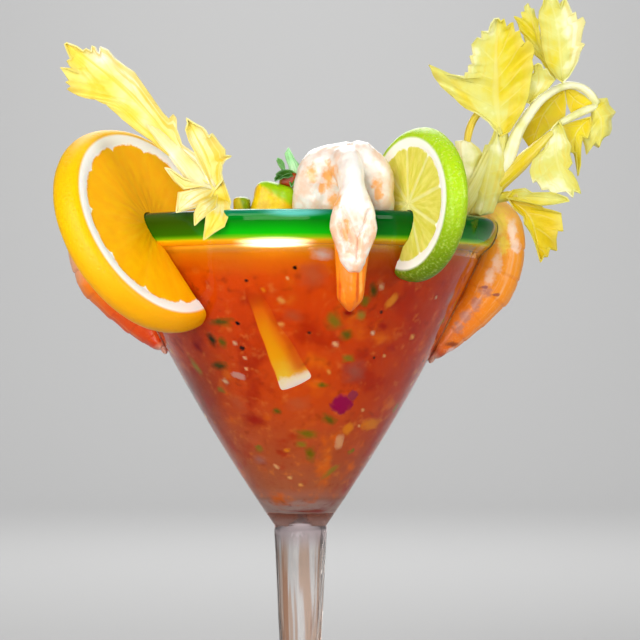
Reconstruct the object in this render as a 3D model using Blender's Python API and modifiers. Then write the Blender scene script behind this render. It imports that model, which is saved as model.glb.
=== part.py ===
"""A stemmed glass with a green rim, full of shrimp cocktail, with shrimp, celery, an orange
wheel and a lime wheel hung on the rim and avocado, tomato and cilantro lying on top.

Metres, +Z up. The origin is the centre of the foot's underside, and the front is -Y.
Every size below is in millimetres, and MM turns it into Blender's metres.
"""

import math
from dataclasses import dataclass

import bmesh
import bpy
from mathutils import Matrix, Vector, noise

MM = 0.001
GAP = 0.3  # clearance between solids that touch

# ---------------------------------------------------------------- the glass
TURN_STEPS = 36  # sides of a turned solid
GLASS_HEIGHT = 178.0
BAND_Z = 168.0  # where the clear wall ends and the green rim begins
BAND_RADIUS = 59.2
BOWL_Z = 79.0  # where the bowl meets the stem
BOWL_ROOT_RADIUS = 8.4
ROOT_FLARE = 0.70  # millimetres outwards for each one up, at the stem
RIM_FLARE = 0.47  # the same at the rim
WALL = 2.7  # across the wall, measured level
WELL_Z = 86.0  # lowest point of the inside
WELL_TURN = 5.0  # height over which its round bottom turns into the wall
RIM_CENTRE = 59.9
RIM_HALF_WIDTH = 3.6
RIM_LEAN = 0.3  # the rim's section leans out with the wall
RIM_SIDES = 10
FOOT_RADIUS = 42.0
STEM = (  # radius and height, from the bulge under the bowl down to the foot's edge
    (8.6, 77.0), (8.1, 68.0), (7.4, 52.0), (6.6, 36.0), (6.5, 24.0), (7.4, 14.0),
    (10.5, 8.5), (17.0, 5.6), (30.0, 3.9), (41.2, 3.0), (FOOT_RADIUS, 1.8), (40.6, 0.0),
)

# ---------------------------------------------------------------- the cocktail
SAUCE_LEVEL = 167.0
SURFACE_RINGS = 3
SURFACE_RELIEF = 0.9
SURFACE_LUMP = 9.0  # width of a lump on the sauce

# ---------------------------------------------------------------- the shrimp
SHRIMP_SIDES = 10
SHRIMP_RINGS = 26
SEGMENTS = 6
SEGMENT_STEP = 0.07  # how far a shell segment stands over the next, as a share of its radius
# Distance from the glass's axis, height, half thickness and half width along the body. The
# head end lies in the sauce, the back bends over the rim and the tail hangs on the wall.
SIDE_BODY = (
    (48.0, 160.0, 4.5, 4.5), (50.5, 168.5, 6.5, 6.2), (54.5, 177.0, 7.2, 7.0),
    (60.5, 181.0, 6.6, 7.4), (65.0, 176.5, 7.6, 7.6), (65.6, 170.0, 8.0, 7.8),
    (64.2, 163.0, 8.2, 7.9), (61.8, 156.5, 8.0, 7.6), (58.4, 150.6, 6.2, 6.9),
    (53.6, 145.2, 5.2, 6.0), (49.6, 140.6, 4.2, 5.0), (46.8, 136.8, 2.8, 4.4),
    (45.2, 134.8, 1.8, 5.4), (43.2, 132.8, 1.0, 5.0),
)
FRONT_BODY = (
    (47.0, 163.0, 4.0, 6.0), (49.0, 172.0, 5.0, 8.0), (52.0, 182.0, 6.0, 8.8),
    (56.5, 190.0, 6.5, 8.5), (62.0, 189.5, 6.0, 7.8), (66.3, 183.5, 5.0, 7.6),
    (68.0, 176.0, 4.2, 7.5), (68.1, 170.0, 4.0, 6.3), (67.6, 165.4, 3.8, 5.1),
    (66.8, 160.0, 3.4, 4.3), (65.9, 155.5, 3.0, 3.8), (64.9, 151.0, 2.3, 3.1),
    (64.0, 147.8, 1.0, 1.3),
)
FRONT_AZIMUTH = -76.2
RIGHT_AZIMUTH = 5.0
LEFT_AZIMUTH = 178.0
LEFT_LIFT = 3.0  # the left shrimp hangs higher on the wall
LEFT_PLUMP = 1.13
# The front shrimp is split along its back, and its halves spread inside the rim:
# x, y, z and radius.
LEFT_HALF = (
    (4.5, -44.0, 167.0, 4.6), (3.9, -47.5, 176.0, 5.8), (4.1, -50.0, 183.0, 6.0),
    (6.4, -51.0, 190.2, 6.6), (11.2, -52.0, 192.0, 6.3), (17.0, -54.0, 192.8, 6.4),
)
RIGHT_HALF = (
    (21.5, -44.0, 167.0, 4.2), (23.4, -48.0, 176.0, 5.0), (23.6, -51.0, 183.0, 5.4),
    (22.4, -52.4, 189.0, 5.6), (19.0, -53.5, 192.4, 6.0), (15.0, -54.0, 193.0, 6.0),
)
HALF_RINGS = 9
HALF_SIDES = 9


@dataclass(frozen=True)
class Wheel:
    """A citrus slice: where its middle is, the way its shown face looks, and its sizes."""

    centre: tuple
    azimuth: float
    elevation: float
    radius: float
    thick: float
    face_radius: float  # outer edge of the white pith on the shown face
    pith: float


ORANGE = Wheel((-47.4, -38.2, 173.4), -37.6, 21.1, 34.4, 9.6, 30.3, 2.6)
LIME = Wheel((35.5, -49.7, 180.0), 212.5, 2.6, 23.5, 7.0, 19.7, 1.6)
WHEEL_STEPS = 36
PITH_STEP = 0.4  # the pith stands proud of the pulp


@dataclass(frozen=True)
class Lobe:
    """One lobe of a leaf, from root to tip, with its widest reach on either side of the
    midrib as seen from the side it faces, tip up."""

    root: tuple
    tip: tuple
    left: float
    right: float
    facing: tuple
    bow: tuple = (0.0, 0.0, 0.0)
    teeth: int = 4


LEAF_THICK = 0.7
LEAF_COLUMNS = (-1.0, 0.0, 1.0)
LEAF_RIPPLE = 0.10  # height of a leaf's waves, as a share of its reach

RIGHT_STALK = (  # x, y, z, half width and half thickness
    (36.5, -12.0, 142.0, 4.6, 2.4), (41.8, -13.6, 156.0, 5.2, 2.6), (46.4, -15.2, 169.0, 5.4, 2.6),
    (49.2, -15.9, 176.0, 5.2, 2.6), (56.2, -17.2, 185.0, 5.2, 2.7), (60.6, -18.0, 194.0, 4.4, 2.5),
    (64.2, -18.0, 203.0, 2.6, 2.0),
)
RIGHT_SHEATH = (  # the pale shoulder behind the stalk, cut off flat
    (47.6, -14.4, 172.0, 3.4, 1.6), (50.6, -14.0, 183.0, 4.2, 1.7),
    (52.8, -13.8, 193.0, 4.7, 1.5), (54.2, -13.6, 201.8, 4.4, 1.0),
)
RIGHT_ARCH = (  # x, y, z and radius
    (60.0, -18.0, 190.0, 2.3), (65.4, -18.2, 196.0, 2.3), (69.8, -18.0, 205.8, 2.1),
    (76.3, -16.5, 215.3, 1.8), (83.0, -13.5, 219.9, 1.5), (88.4, -10.5, 220.9, 1.4),
    (93.0, -8.5, 219.0, 1.3), (96.0, -7.2, 215.0, 1.2),
)
RIGHT_BRANCH = (
    (49.6, -16.4, 178.0, 1.8), (52.6, -17.6, 190.0, 1.6), (53.0, -18.4, 201.0, 1.3),
    (54.8, -19.4, 208.5, 1.1), (59.0, -19.0, 214.0, 1.0),
)
RIGHT_SIDE_STEM = (
    (95.6, -7.4, 214.6, 1.1), (90.6, -9.6, 212.6, 1.1), (83.2, -12.4, 208.6, 1.0),
)
RIGHT_LOW_STEM = (
    (55.0, -17.6, 183.6, 2.0), (61.6, -19.6, 185.6, 1.7), (69.6, -20.5, 184.6, 1.2),
)
RIGHT_LOBES = (
    Lobe((62.6, -18.4, 203.0), (62.4, -23.0, 240.0), 9.0, 8.6, (0.1, -1, 0.2), (0, -3, 0), 5),
    Lobe((63.4, -18.6, 206.0), (40.4, -26.0, 225.0), 2.2, 5.6, (0.2, -1, 0.2), (1, -1, -3), 4),
    Lobe((66.0, -18.2, 206.0), (72.4, -15.5, 234.5), 4.6, 3.6, (-0.3, -1, 0.1), (1, 0, 0), 4),
    Lobe((83.0, -13.0, 218.0), (79.4, -8.0, 251.0), 7.6, 9.2, (0.35, -1, 0.1), (2, 3, 0), 5),
    Lobe((82.4, -13.4, 219.0), (71.4, -6.0, 243.5), 3.4, 4.6, (0.75, -0.7, 0.1), (-1, 3, 0), 4),
    Lobe((80.4, -15.2, 217.4), (73.6, -20.0, 226.8), 2.2, 2.6, (-0.2, -1, 0.3), (0, -1, 0), 3),
    Lobe((82.5, -13.0, 219.0), (87.6, -4.0, 198.5), 7.6, 7.6, (0.1, -1, 0.1), (0, 4, 0), 4),
    Lobe((83.4, -12.4, 209.4), (76.6, -21.0, 185.8), 5.4, 7.6, (0.1, -1, 0.25), (-2, -4, 0), 4),
    Lobe((83.0, -12.6, 208.0), (88.9, -19.5, 186.2), 2.8, 2.6, (0.4, -1, 0.1), (3, -3, 0), 3),
    Lobe((95.4, -7.6, 215.6), (103.0, -4.5, 213.0), 3.2, 3.0, (0.3, -1, 0.2), (0, 0, 2), 3),
    Lobe((95.6, -7.6, 216.0), (97.0, -9.5, 201.2), 4.8, 3.4, (0.1, -1, 0.1), (2, -2, 0), 4),
    Lobe((67.0, -20.3, 185.0), (85.0, -26.0, 183.2), 1.9, 2.3, (0.1, -0.6, 1), (0, -2, 2), 3),
    Lobe((66.6, -20.4, 184.8), (76.4, -16.0, 164.2), 6.4, 2.4, (-0.1, -1, 0.3), (2, -3, 2), 4),
    Lobe((67.0, -20.2, 184.6), (84.0, -13.0, 173.6), 2.8, 4.6, (-0.1, -1, 0.3), (1, -2, 3), 4),
)
LEFT_STALK = (
    (-20.0, -36.0, 144.0, 2.8, 2.0), (-23.2, -41.6, 158.0, 3.2, 2.3),
    (-25.4, -45.4, 172.0, 3.6, 2.4), (-26.8, -48.0, 182.5, 4.4, 2.3),
    (-31.6, -49.8, 190.6, 4.8, 2.0), (-39.6, -50.2, 198.4, 5.0, 1.5),
)
LEFT_LOBES = (
    Lobe((-29.6, -49.6, 188.4), (-70.6, -53.0, 228.0), 6.2, 6.6, (0.1, -1, 0.3), (1, -1, 2), 5),
    Lobe((-37.0, -50.4, 196.4), (-60.4, -47.0, 228.0), 4.6, 3.4, (0.1, -1, 0.3), (1, 1, 0), 4),
    Lobe((-38.0, -50.6, 197.0), (-71.0, -58.0, 219.6), 6.4, 4.0, (-0.1, -1, 0.4), (3, -2, -2), 4),
    Lobe((-31.0, -49.4, 190.6), (-37.8, -47.4, 207.4), 2.2, 2.4, (0.2, -1, 0.2), (2, 1, 0), 3),
    Lobe((-27.0, -48.4, 182.4), (-33.0, -52.0, 205.2), 4.2, 5.4, (0.2, -1, 0.1), (1.5, -3, 0), 4),
    Lobe((-26.8, -48.4, 182.0), (-20.6, -47.0, 196.4), 3.4, 3.0, (0.1, -1, 0.1), (1, -2, 0), 4),
    Lobe((-27.6, -49.0, 184.6), (-40.0, -57.0, 189.8), 2.2, 2.4, (0.1, -0.8, 0.7), (1, -2, 1), 3),
    Lobe((-27.0, -48.6, 181.6), (-33.0, -60.0, 173.6), 3.4, 3.0, (-0.3, -1, 0.4), (-1, -4, 7), 3),
    Lobe((-26.4, -48.6, 181.6), (-27.0, -62.4, 168.8), 3.2, 3.4, (-0.2, -1, 0.4), (1, -4, 8), 4),
    Lobe((-26.0, -48.4, 181.8), (-20.0, -60.0, 178.6), 2.6, 2.8, (0.0, -0.5, 1), (0, -2, 4), 3),
)


@dataclass(frozen=True)
class Chunk:
    """A cut cube of fruit: centre, size, turn about X, Y and Z in degrees, corner radius."""

    centre: tuple
    size: tuple
    turn: tuple
    corner: float


AVOCADO = Chunk((-8.6, -35.0, 176.5), (11.8, 12.0, 21.0), (0.0, 14.0, 0.0), 3.0)
AVOCADO_SMALL = Chunk((-18.6, -38.0, 175.6), (5.0, 5.6, 15.0), (4.0, 4.0, -12.0), 1.6)
TOMATO = Chunk((-2.9, -36.0, 189.2), (5.2, 6.0, 5.0), (0.0, 14.0, 0.0), 1.0)
CILANTRO_STEM = (
    (3.4, -32.0, 160.0, 0.9), (4.4, -33.4, 175.0, 0.9), (3.2, -35.4, 188.0, 0.8),
    (0.0, -37.0, 193.0, 0.7),
)
CILANTRO_LOBES = (
    Lobe((0.6, -36.8, 192.4), (-7.0, -40.0, 196.0), 2.0, 1.8, (0.1, -1, 0.4), (0, -1, 1), 2),
    Lobe((0.6, -36.8, 192.2), (-3.4, -38.0, 199.4), 2.1, 2.2, (0.1, -1, 0.2), (0, -1, 0), 2),
    Lobe((0.8, -36.8, 192.4), (-7.8, -41.6, 192.8), 1.8, 1.6, (0.1, -1, 0.6), (0, -1, 1), 2),
    Lobe((1.4, -36.4, 191.6), (5.4, -38.4, 196.4), 1.6, 1.6, (0.1, -1, 0.2), (0, -1, 0), 2),
)


# ---------------------------------------------------------------- helpers
def clear_scene():
    for obj in list(bpy.data.objects):
        bpy.data.objects.remove(obj)


def new_collection(name):
    collection = bpy.data.collections.new(name)
    bpy.context.scene.collection.children.link(collection)
    return collection


def material(name, colour, roughness, transmission=0.0):
    made = bpy.data.materials.new(name)
    made.use_nodes = True
    made.diffuse_color = (*colour, 1.0)
    shader = made.node_tree.nodes["Principled BSDF"]
    shader.inputs["Base Color"].default_value = (*colour, 1.0)
    shader.inputs["Roughness"].default_value = roughness
    shader.inputs["Metallic"].default_value = 0.0
    shader.inputs["Transmission Weight"].default_value = transmission
    return made


def link(name, mesh, collection):
    obj = bpy.data.objects.new(name, mesh)
    collection.objects.link(obj)
    return obj


def solid_from(bm, name, collection):
    """An object from a closed bmesh, its faces turned outwards."""
    bmesh.ops.recalc_face_normals(bm, faces=bm.faces)
    if bm.calc_volume(signed=True) < 0:
        bmesh.ops.reverse_faces(bm, faces=bm.faces)
    mesh = bpy.data.meshes.new(name)
    bm.to_mesh(mesh)
    bm.free()
    return link(name, mesh, collection)


def shaded(obj, angle=40.0):
    """Smooth shading with the creases kept."""
    obj.data.shade_smooth()
    obj.data.set_sharp_from_angle(angle=math.radians(angle))
    return obj


def turned(name, profile, steps, collection, closed=False):
    """A turned solid: a profile of (radius, height), down its outer side, and a Screw."""
    mesh = bpy.data.meshes.new(name)
    verts = [(radius * MM, 0.0, height * MM) for radius, height in profile]
    edges = [(i, i + 1) for i in range(len(verts) - 1)]
    if closed:
        edges.append((len(verts) - 1, 0))
    mesh.from_pydata(verts, edges, [])
    obj = link(name, mesh, collection)
    screw = obj.modifiers.new("turn", "SCREW")
    screw.angle = math.tau
    screw.steps = screw.render_steps = steps
    screw.use_merge_vertices = True
    screw.merge_threshold = 0.00005
    screw.use_smooth_shade = True
    return obj


def baked(obj):
    """The object with its modifiers and placement made part of its mesh."""
    bpy.context.view_layer.update()
    depsgraph = bpy.context.evaluated_depsgraph_get()
    mesh = bpy.data.meshes.new_from_object(obj.evaluated_get(depsgraph))
    mesh.transform(obj.matrix_world)
    obj.modifiers.clear()
    obj.data = mesh
    obj.matrix_world = Matrix.Identity(4)
    return obj


def boolean(obj, operation, other=None, collection=None):
    """Cuts or joins obj with one other object, or with all of a collection. A body that
    bends tightly over the rim meets itself there, so crossings within it are resolved."""
    modifier = obj.modifiers.new(operation.lower(), "BOOLEAN")
    modifier.operation = operation
    modifier.use_self = True
    if collection:
        modifier.operand_type = "COLLECTION"
        modifier.collection = collection
    else:
        modifier.object = other
    return obj


def keep_largest(obj):
    """Drops the loose scraps that a cut can leave beside the main body."""
    bm = bmesh.new()
    bm.from_mesh(obj.data)
    bmesh.ops.triangulate(bm, faces=bm.faces)
    left, bodies = set(bm.verts), []
    while left:
        body, front = set(), [left.pop()]
        while front:
            vert = front.pop()
            body.add(vert)
            for edge in vert.link_edges:
                other = edge.other_vert(vert)
                if other in left:
                    left.discard(other)
                    front.append(other)
        bodies.append(body)
    bodies.sort(key=len, reverse=True)
    scraps = [vert for body in bodies[1:] for vert in body]
    bmesh.ops.delete(bm, geom=scraps, context="VERTS")
    bm.to_mesh(obj.data)
    bm.free()
    return obj


def fused(name, pieces, collection):
    """One solid from overlapping ones, by one union on a collection."""
    first, *others = pieces
    bench = new_collection(name + "_pieces")
    for piece in others:
        collection.objects.unlink(piece)
        bench.objects.link(piece)
    baked(boolean(first, "UNION", collection=bench))
    for piece in others:
        bpy.data.objects.remove(piece)
    bpy.data.collections.remove(bench)
    first.name = name
    return keep_largest(first)


def grown(obj, by, cutters):
    """A closed copy of a solid, pushed out all over along its normals, to cut room for it."""
    bm = bmesh.new()
    bm.from_mesh(obj.data)
    bm.normal_update()
    for vert, normal in [(v, v.normal.copy()) for v in bm.verts]:
        vert.co += normal * by * MM
    cutter = solid_from(bm, obj.name + "_room", cutters)
    cutter.hide_render = True
    cutter.display_type = "WIRE"
    return cutter


# ---------------------------------------------------------------- curves
def hermite(t, start, end, start_slope, end_slope):
    """A smooth curve from start to end with the given slopes at its ends."""
    rest = 1.0 - t
    return (
        start * (1 + 2 * t) * rest * rest
        + start_slope * t * rest * rest
        + end * t * t * (3 - 2 * t)
        - end_slope * t * t * rest
    )


def along(points, t):
    """A point on the smooth curve through points, for t from 0 to 1, with every column of
    the points carried along."""
    place = t * (len(points) - 1)
    i = min(int(place), len(points) - 2)
    u = place - i
    before, start = points[max(i - 1, 0)], points[i]
    end, after = points[i + 1], points[min(i + 2, len(points) - 1)]
    return tuple(
        hermite(u, b, c, (c - a) / 2, (d - b) / 2)
        for a, b, c, d in zip(before, start, end, after)
    )


def spaced(count):
    return [i / (count - 1) for i in range(count)]


def bowl_radius(z):
    """Outer radius of the clear bowl at a height."""
    rise = BAND_Z - BOWL_Z
    t = (z - BOWL_Z) / rise
    return hermite(t, BOWL_ROOT_RADIUS, BAND_RADIUS, ROOT_FLARE * rise, RIM_FLARE * rise)


def well_radius(z):
    """Inner radius of the bowl at a height, above its round bottom."""
    return bowl_radius(z) - WALL


def well_bottom(inset, count):
    """The round bottom of the inside, from the axis out to the wall."""
    turn_z = WELL_Z + WELL_TURN
    reach = well_radius(turn_z) - inset
    points = []
    for i in range(count):
        angle = math.pi / 2 * i / count
        points.append((reach * math.sin(angle), turn_z - (WELL_TURN - inset) * math.cos(angle)))
    return points


def wall_heights(low, high, count):
    return [low + (high - low) * t for t in spaced(count)]


def rim_point(angle, grow=0.0):
    """A point of the rim's oval section, from 0 on its outer side, up and over."""
    half_height = (GLASS_HEIGHT - BAND_Z - GAP) / 2
    middle = GLASS_HEIGHT - half_height
    rise = (half_height + grow) * math.sin(angle)
    out = (RIM_HALF_WIDTH + grow) * math.cos(angle)
    return RIM_CENTRE + out + RIM_LEAN * rise, middle + rise


def section_frame(path, index, across):
    """Unit vectors across a path's point: one square to its plane, one in its plane."""
    ahead = path[min(index + 1, len(path) - 1)] - path[max(index - 1, 0)]
    tangent = ahead.normalized()
    side = (across - tangent * across.dot(tangent)).normalized()
    return side, tangent.cross(side)


def skin(name, path, widths, depths, across, sides, collection):
    """A closed skin over elliptical sections: a loft between unlike sections."""
    bm = bmesh.new()
    rings = []
    for i, centre in enumerate(path):
        side, up = section_frame(path, i, across)
        ring = []
        for k in range(sides):
            angle = math.tau * k / sides
            point = centre + side * widths[i] * math.cos(angle) + up * depths[i] * math.sin(angle)
            ring.append(bm.verts.new(point * MM))
        rings.append(ring)
    for ring, after in zip(rings, rings[1:]):
        for k in range(sides):
            m = (k + 1) % sides
            bm.faces.new((ring[k], ring[m], after[m], after[k]))
    bm.faces.new(rings[0])
    bm.faces.new(rings[-1])
    bmesh.ops.triangulate(bm, faces=bm.faces)
    return solid_from(bm, name, collection)


def tube(name, points, sides_resolution, collection):
    """A round stem through points of x, y, z and radius: a bevelled curve made a mesh."""
    data = bpy.data.curves.new(name, "CURVE")
    data.dimensions = "3D"
    data.bevel_depth = MM
    data.bevel_resolution = sides_resolution
    data.use_fill_caps = True
    count = len(points) + 3
    spline = data.splines.new("POLY")
    spline.points.add(count - 1)
    for slot, t in zip(spline.points, spaced(count)):
        x, y, z, radius = along(points, t)
        slot.co = (x * MM, y * MM, z * MM, 1.0)
        slot.radius = radius
    curve = link(name + "_line", data, collection)
    bpy.context.view_layer.update()
    depsgraph = bpy.context.evaluated_depsgraph_get()
    mesh = bpy.data.meshes.new_from_object(curve.evaluated_get(depsgraph))
    matrix = curve.matrix_world.copy()
    bpy.data.objects.remove(curve)
    bm = bmesh.new()
    bm.from_mesh(mesh)
    bmesh.ops.remove_doubles(bm, verts=bm.verts, dist=0.000005)
    bmesh.ops.triangulate(bm, faces=bm.faces)
    obj = solid_from(bm, name, collection)
    obj.matrix_world = matrix
    return obj


# ---------------------------------------------------------------- leaves
def midrib(lobe, s):
    root, tip, bow = Vector(lobe.root), Vector(lobe.tip), Vector(lobe.bow)
    control = (root + tip) / 2 + bow
    point = root * (1 - s) ** 2 + control * 2 * s * (1 - s) + tip * s * s
    tangent = (control - root) * (1 - s) + (tip - control) * s
    return point, tangent.normalized()


def leaf_rows(lobe):
    """Places along the midrib with the reach there: out at each tooth, in at each notch."""
    rows = [(0.0, 0.22)]
    for i in range(lobe.teeth):
        notch = (i + 0.25) / lobe.teeth
        tooth = (i + 0.80) / lobe.teeth
        rows.append((notch, 0.80 * math.sin(math.pi * notch**0.8) ** 0.6))
        rows.append((tooth, 1.08 * math.sin(math.pi * min(tooth, 0.97) ** 0.8) ** 0.6))
    rows.append((1.0, 0.06))
    return rows


def leaf(name, lobe, collection):
    """A thin wavy solid. Its two faces are split into triangles alike."""
    bm = bmesh.new()
    facing = Vector(lobe.facing).normalized()
    tops, bottoms = [], []
    for s, reach in leaf_rows(lobe):
        centre, tangent = midrib(lobe, s)
        side = facing.cross(tangent).normalized()
        normal = tangent.cross(side)
        top, bottom = [], []
        for column in LEAF_COLUMNS:
            width = (lobe.left if column > 0 else lobe.right) * reach
            wave = math.sin(9.0 * s + 2.5 * column) * abs(column) * LEAF_RIPPLE
            lift = (lobe.left + lobe.right) * (wave + 0.07 * column * column)
            forward = 0.16 * width * abs(column)
            middle = centre + side * column * width + normal * lift + tangent * forward
            half = LEAF_THICK / 2 * (1 - 0.3 * column * column)
            top.append(bm.verts.new((middle + normal * half) * MM))
            bottom.append(bm.verts.new((middle - normal * half) * MM))
        tops.append(top)
        bottoms.append(bottom)
    last = len(LEAF_COLUMNS) - 1
    for row in range(len(tops) - 1):
        for k in range(last):
            for sheet in (tops, bottoms):
                corner, near = sheet[row][k], sheet[row][k + 1]
                far, opposite = sheet[row + 1][k], sheet[row + 1][k + 1]
                bm.faces.new((corner, near, opposite))
                bm.faces.new((corner, opposite, far))
        for k in (0, last):
            bm.faces.new((tops[row][k], tops[row + 1][k], bottoms[row + 1][k], bottoms[row][k]))
    for row in (0, len(tops) - 1):
        for k in range(last):
            bm.faces.new((tops[row][k], tops[row][k + 1], bottoms[row][k + 1], bottoms[row][k]))
    bmesh.ops.triangulate(bm, faces=bm.faces)
    return solid_from(bm, name, collection)


def stalk(name, stations, sides, collection):
    """A flat stalk through stations of x, y, z, half width and half thickness."""
    samples = [along(stations, t) for t in spaced(2 * len(stations))]
    path = [Vector(sample[:3]) for sample in samples]
    widths = [sample[3] for sample in samples]
    depths = [sample[4] for sample in samples]
    return skin(name, path, widths, depths, Vector((0.88, 0.45, 0.0)), sides, collection)


# ---------------------------------------------------------------- the pieces
def make_glass(collection):
    """Clear bowl, solid root, stem and foot, blown in one piece."""
    inside = well_bottom(0.0, 3)
    inside += [(well_radius(z), z) for z in wall_heights(WELL_Z + WELL_TURN, BAND_Z, 5)]
    outside = [(bowl_radius(z), z) for z in wall_heights(BAND_Z, BOWL_Z, 8)]
    profile = inside + outside + list(STEM) + [(0.0, 0.0)]
    glass = turned("glass", profile, TURN_STEPS, collection)
    glass.data.materials.append(material("clear_glass", (0.95, 0.96, 0.96), 0.02, 1.0))
    return glass


def make_rim(collection):
    """Thick round lip of green glass on the clear wall."""
    profile = [rim_point(-math.tau * i / RIM_SIDES) for i in range(RIM_SIDES)]
    rim = turned("rim", profile, TURN_STEPS, collection, closed=True)
    rim.data.materials.append(material("green_glass", (0.0, 0.36, 0.03), 0.04, 0.6))
    return rim


def make_rim_room(cutters):
    """What the wall and rim take up, and a gap all round: it cuts whatever hangs there."""
    low = 104.0
    level_gap = GAP * 1.15
    heights = wall_heights(BAND_Z - 1.0, low, 8)
    outer = [rim_point(math.radians(a), GAP) for a in (90, 60, 30, 0, -30, -60)]
    outer += [(bowl_radius(z) + level_gap, z) for z in heights]
    inner = [(well_radius(z) - level_gap, z) for z in reversed(heights)]
    inner += [rim_point(math.radians(a), GAP) for a in (-120, -150, 180, 150, 120)]
    room = turned("rim_room", outer + inner, TURN_STEPS, cutters, closed=True)
    room.hide_render = True
    room.display_type = "WIRE"
    return room


def wheel_profile(wheel):
    """Half section of a citrus slice, shown face up, from its middle round to the back."""
    front, back = wheel.thick / 2, -wheel.thick / 2
    pulp = wheel.face_radius - wheel.pith
    rind = wheel.radius - wheel.face_radius
    widest = front - 0.6 * wheel.thick
    return [
        (0.0, front - PITH_STEP), (pulp, front - PITH_STEP),
        (pulp + 0.5, front), (wheel.face_radius, front),
        (wheel.face_radius + 0.45 * rind, front - 0.06 * wheel.thick),
        (wheel.face_radius + 0.8 * rind, front - 0.28 * wheel.thick),
        (wheel.radius, widest),
        (wheel.radius - 0.25 * rind, back + 0.1 * wheel.thick),
        (wheel.face_radius + 0.1 * rind, back),
        (0.0, back),
    ]


def make_wheel(name, wheel, made_of, rim_room, collection):
    """A citrus slice with a slot that fits over the rim."""
    obj = turned(name, wheel_profile(wheel), WHEEL_STEPS, collection)
    azimuth, elevation = math.radians(wheel.azimuth), math.radians(wheel.elevation)
    facing = Vector((
        math.cos(elevation) * math.cos(azimuth),
        math.cos(elevation) * math.sin(azimuth),
        math.sin(elevation),
    ))
    turn = Vector((0.0, 0.0, 1.0)).rotation_difference(facing).to_matrix().to_4x4()
    obj.matrix_world = Matrix.Translation(Vector(wheel.centre) * MM) @ turn
    baked(obj)
    baked(boolean(obj, "DIFFERENCE", rim_room))
    keep_largest(shaded(obj))
    obj.data.materials.append(made_of)
    return obj


def segmented(t):
    """The stepped rise of the shell segments along a shrimp's back."""
    return 1.0 + SEGMENT_STEP * ((t * SEGMENTS) % 1.0 - 0.5)


def hung_body(name, stations, azimuth, lift, plump, collection):
    """A shrimp's body in the upright plane through the glass's axis at an azimuth."""
    outwards = Vector((math.cos(math.radians(azimuth)), math.sin(math.radians(azimuth)), 0.0))
    across = Vector((0.0, 0.0, 1.0)).cross(outwards)
    path, widths, depths = [], [], []
    for t in spaced(SHRIMP_RINGS):
        reach, height, depth, width = along(stations, t)
        swell = plump * segmented(t)
        path.append(outwards * (reach + lift * RIM_FLARE) + Vector((0.0, 0.0, height + lift)))
        widths.append(width * swell)
        depths.append(depth * swell)
    return skin(name, path, widths, depths, across, SHRIMP_SIDES, collection)


def split_half(name, stations, collection):
    """One of the two halves of the split shrimp, as a bent roll."""
    samples = [along(stations, t) for t in spaced(HALF_RINGS)]
    path = [Vector(sample[:3]) for sample in samples]
    radii = [sample[3] for sample in samples]
    return skin(name, path, radii, radii, Vector((0.0, 1.0, 0.2)), HALF_SIDES, collection)


def make_side_shrimp(name, azimuth, lift, plump, made_of, rim_room, collection):
    obj = hung_body(name, SIDE_BODY, azimuth, lift, plump, collection)
    baked(boolean(obj, "DIFFERENCE", rim_room))
    keep_largest(shaded(obj))
    obj.data.materials.append(made_of)
    return obj


def make_front_shrimp(made_of, rim_room, collection):
    body = hung_body("shrimp_front", FRONT_BODY, FRONT_AZIMUTH, 0.0, 1.0, collection)
    halves = [
        split_half("left_half", LEFT_HALF, collection),
        split_half("right_half", RIGHT_HALF, collection),
    ]
    obj = fused("shrimp_front", [body] + halves, collection)
    baked(boolean(obj, "DIFFERENCE", rim_room))
    keep_largest(shaded(obj))
    obj.data.materials.append(made_of)
    return obj


def make_sprig(name, pieces, lobes, made_of, collection):
    """Stalk, stems and leaves of one sprig, grown together."""
    leaves = [leaf(f"{name}_lobe", lobe, collection) for lobe in lobes]
    obj = fused(name, pieces + leaves, collection)
    shaded(obj, 50.0)
    obj.data.materials.append(made_of)
    return obj


def make_right_celery(made_of, collection):
    pieces = [
        stalk("celery_right", RIGHT_STALK, 10, collection),
        stalk("sheath", RIGHT_SHEATH, 8, collection),
        tube("arch", RIGHT_ARCH, 1, collection),
        tube("branch", RIGHT_BRANCH, 1, collection),
        tube("side_stem", RIGHT_SIDE_STEM, 1, collection),
        tube("low_stem", RIGHT_LOW_STEM, 1, collection),
    ]
    return make_sprig("celery_right", pieces, RIGHT_LOBES, made_of, collection)


def make_left_celery(made_of, collection):
    pieces = [stalk("celery_left", LEFT_STALK, 10, collection)]
    return make_sprig("celery_left", pieces, LEFT_LOBES, made_of, collection)


def make_cilantro(made_of, collection):
    pieces = [tube("cilantro", CILANTRO_STEM, 1, collection)]
    return make_sprig("cilantro", pieces, CILANTRO_LOBES, made_of, collection)


def make_chunk(name, chunk, made_of, collection):
    """A knife-cut cube of fruit with softened edges."""
    bm = bmesh.new()
    bmesh.ops.create_cube(bm, size=1.0)
    bmesh.ops.scale(bm, vec=Vector(chunk.size) * MM, verts=bm.verts)
    for vert in bm.verts:
        vert.co.x *= 1.0 + 0.12 * noise.noise(vert.co * 90)
        vert.co.y *= 1.0 + 0.12 * noise.noise(vert.co * 70)
    obj = solid_from(bm, name, collection)
    bevel = obj.modifiers.new("soft_edges", "BEVEL")
    bevel.width = chunk.corner * MM
    bevel.segments = 2
    turns = [Matrix.Rotation(math.radians(a), 4, axis) for a, axis in zip(chunk.turn, "XYZ")]
    obj.matrix_world = (
        Matrix.Translation(Vector(chunk.centre) * MM) @ turns[2] @ turns[1] @ turns[0]
    )
    baked(obj)
    keep_largest(shaded(obj))
    obj.data.materials.append(made_of)
    return obj


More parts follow.
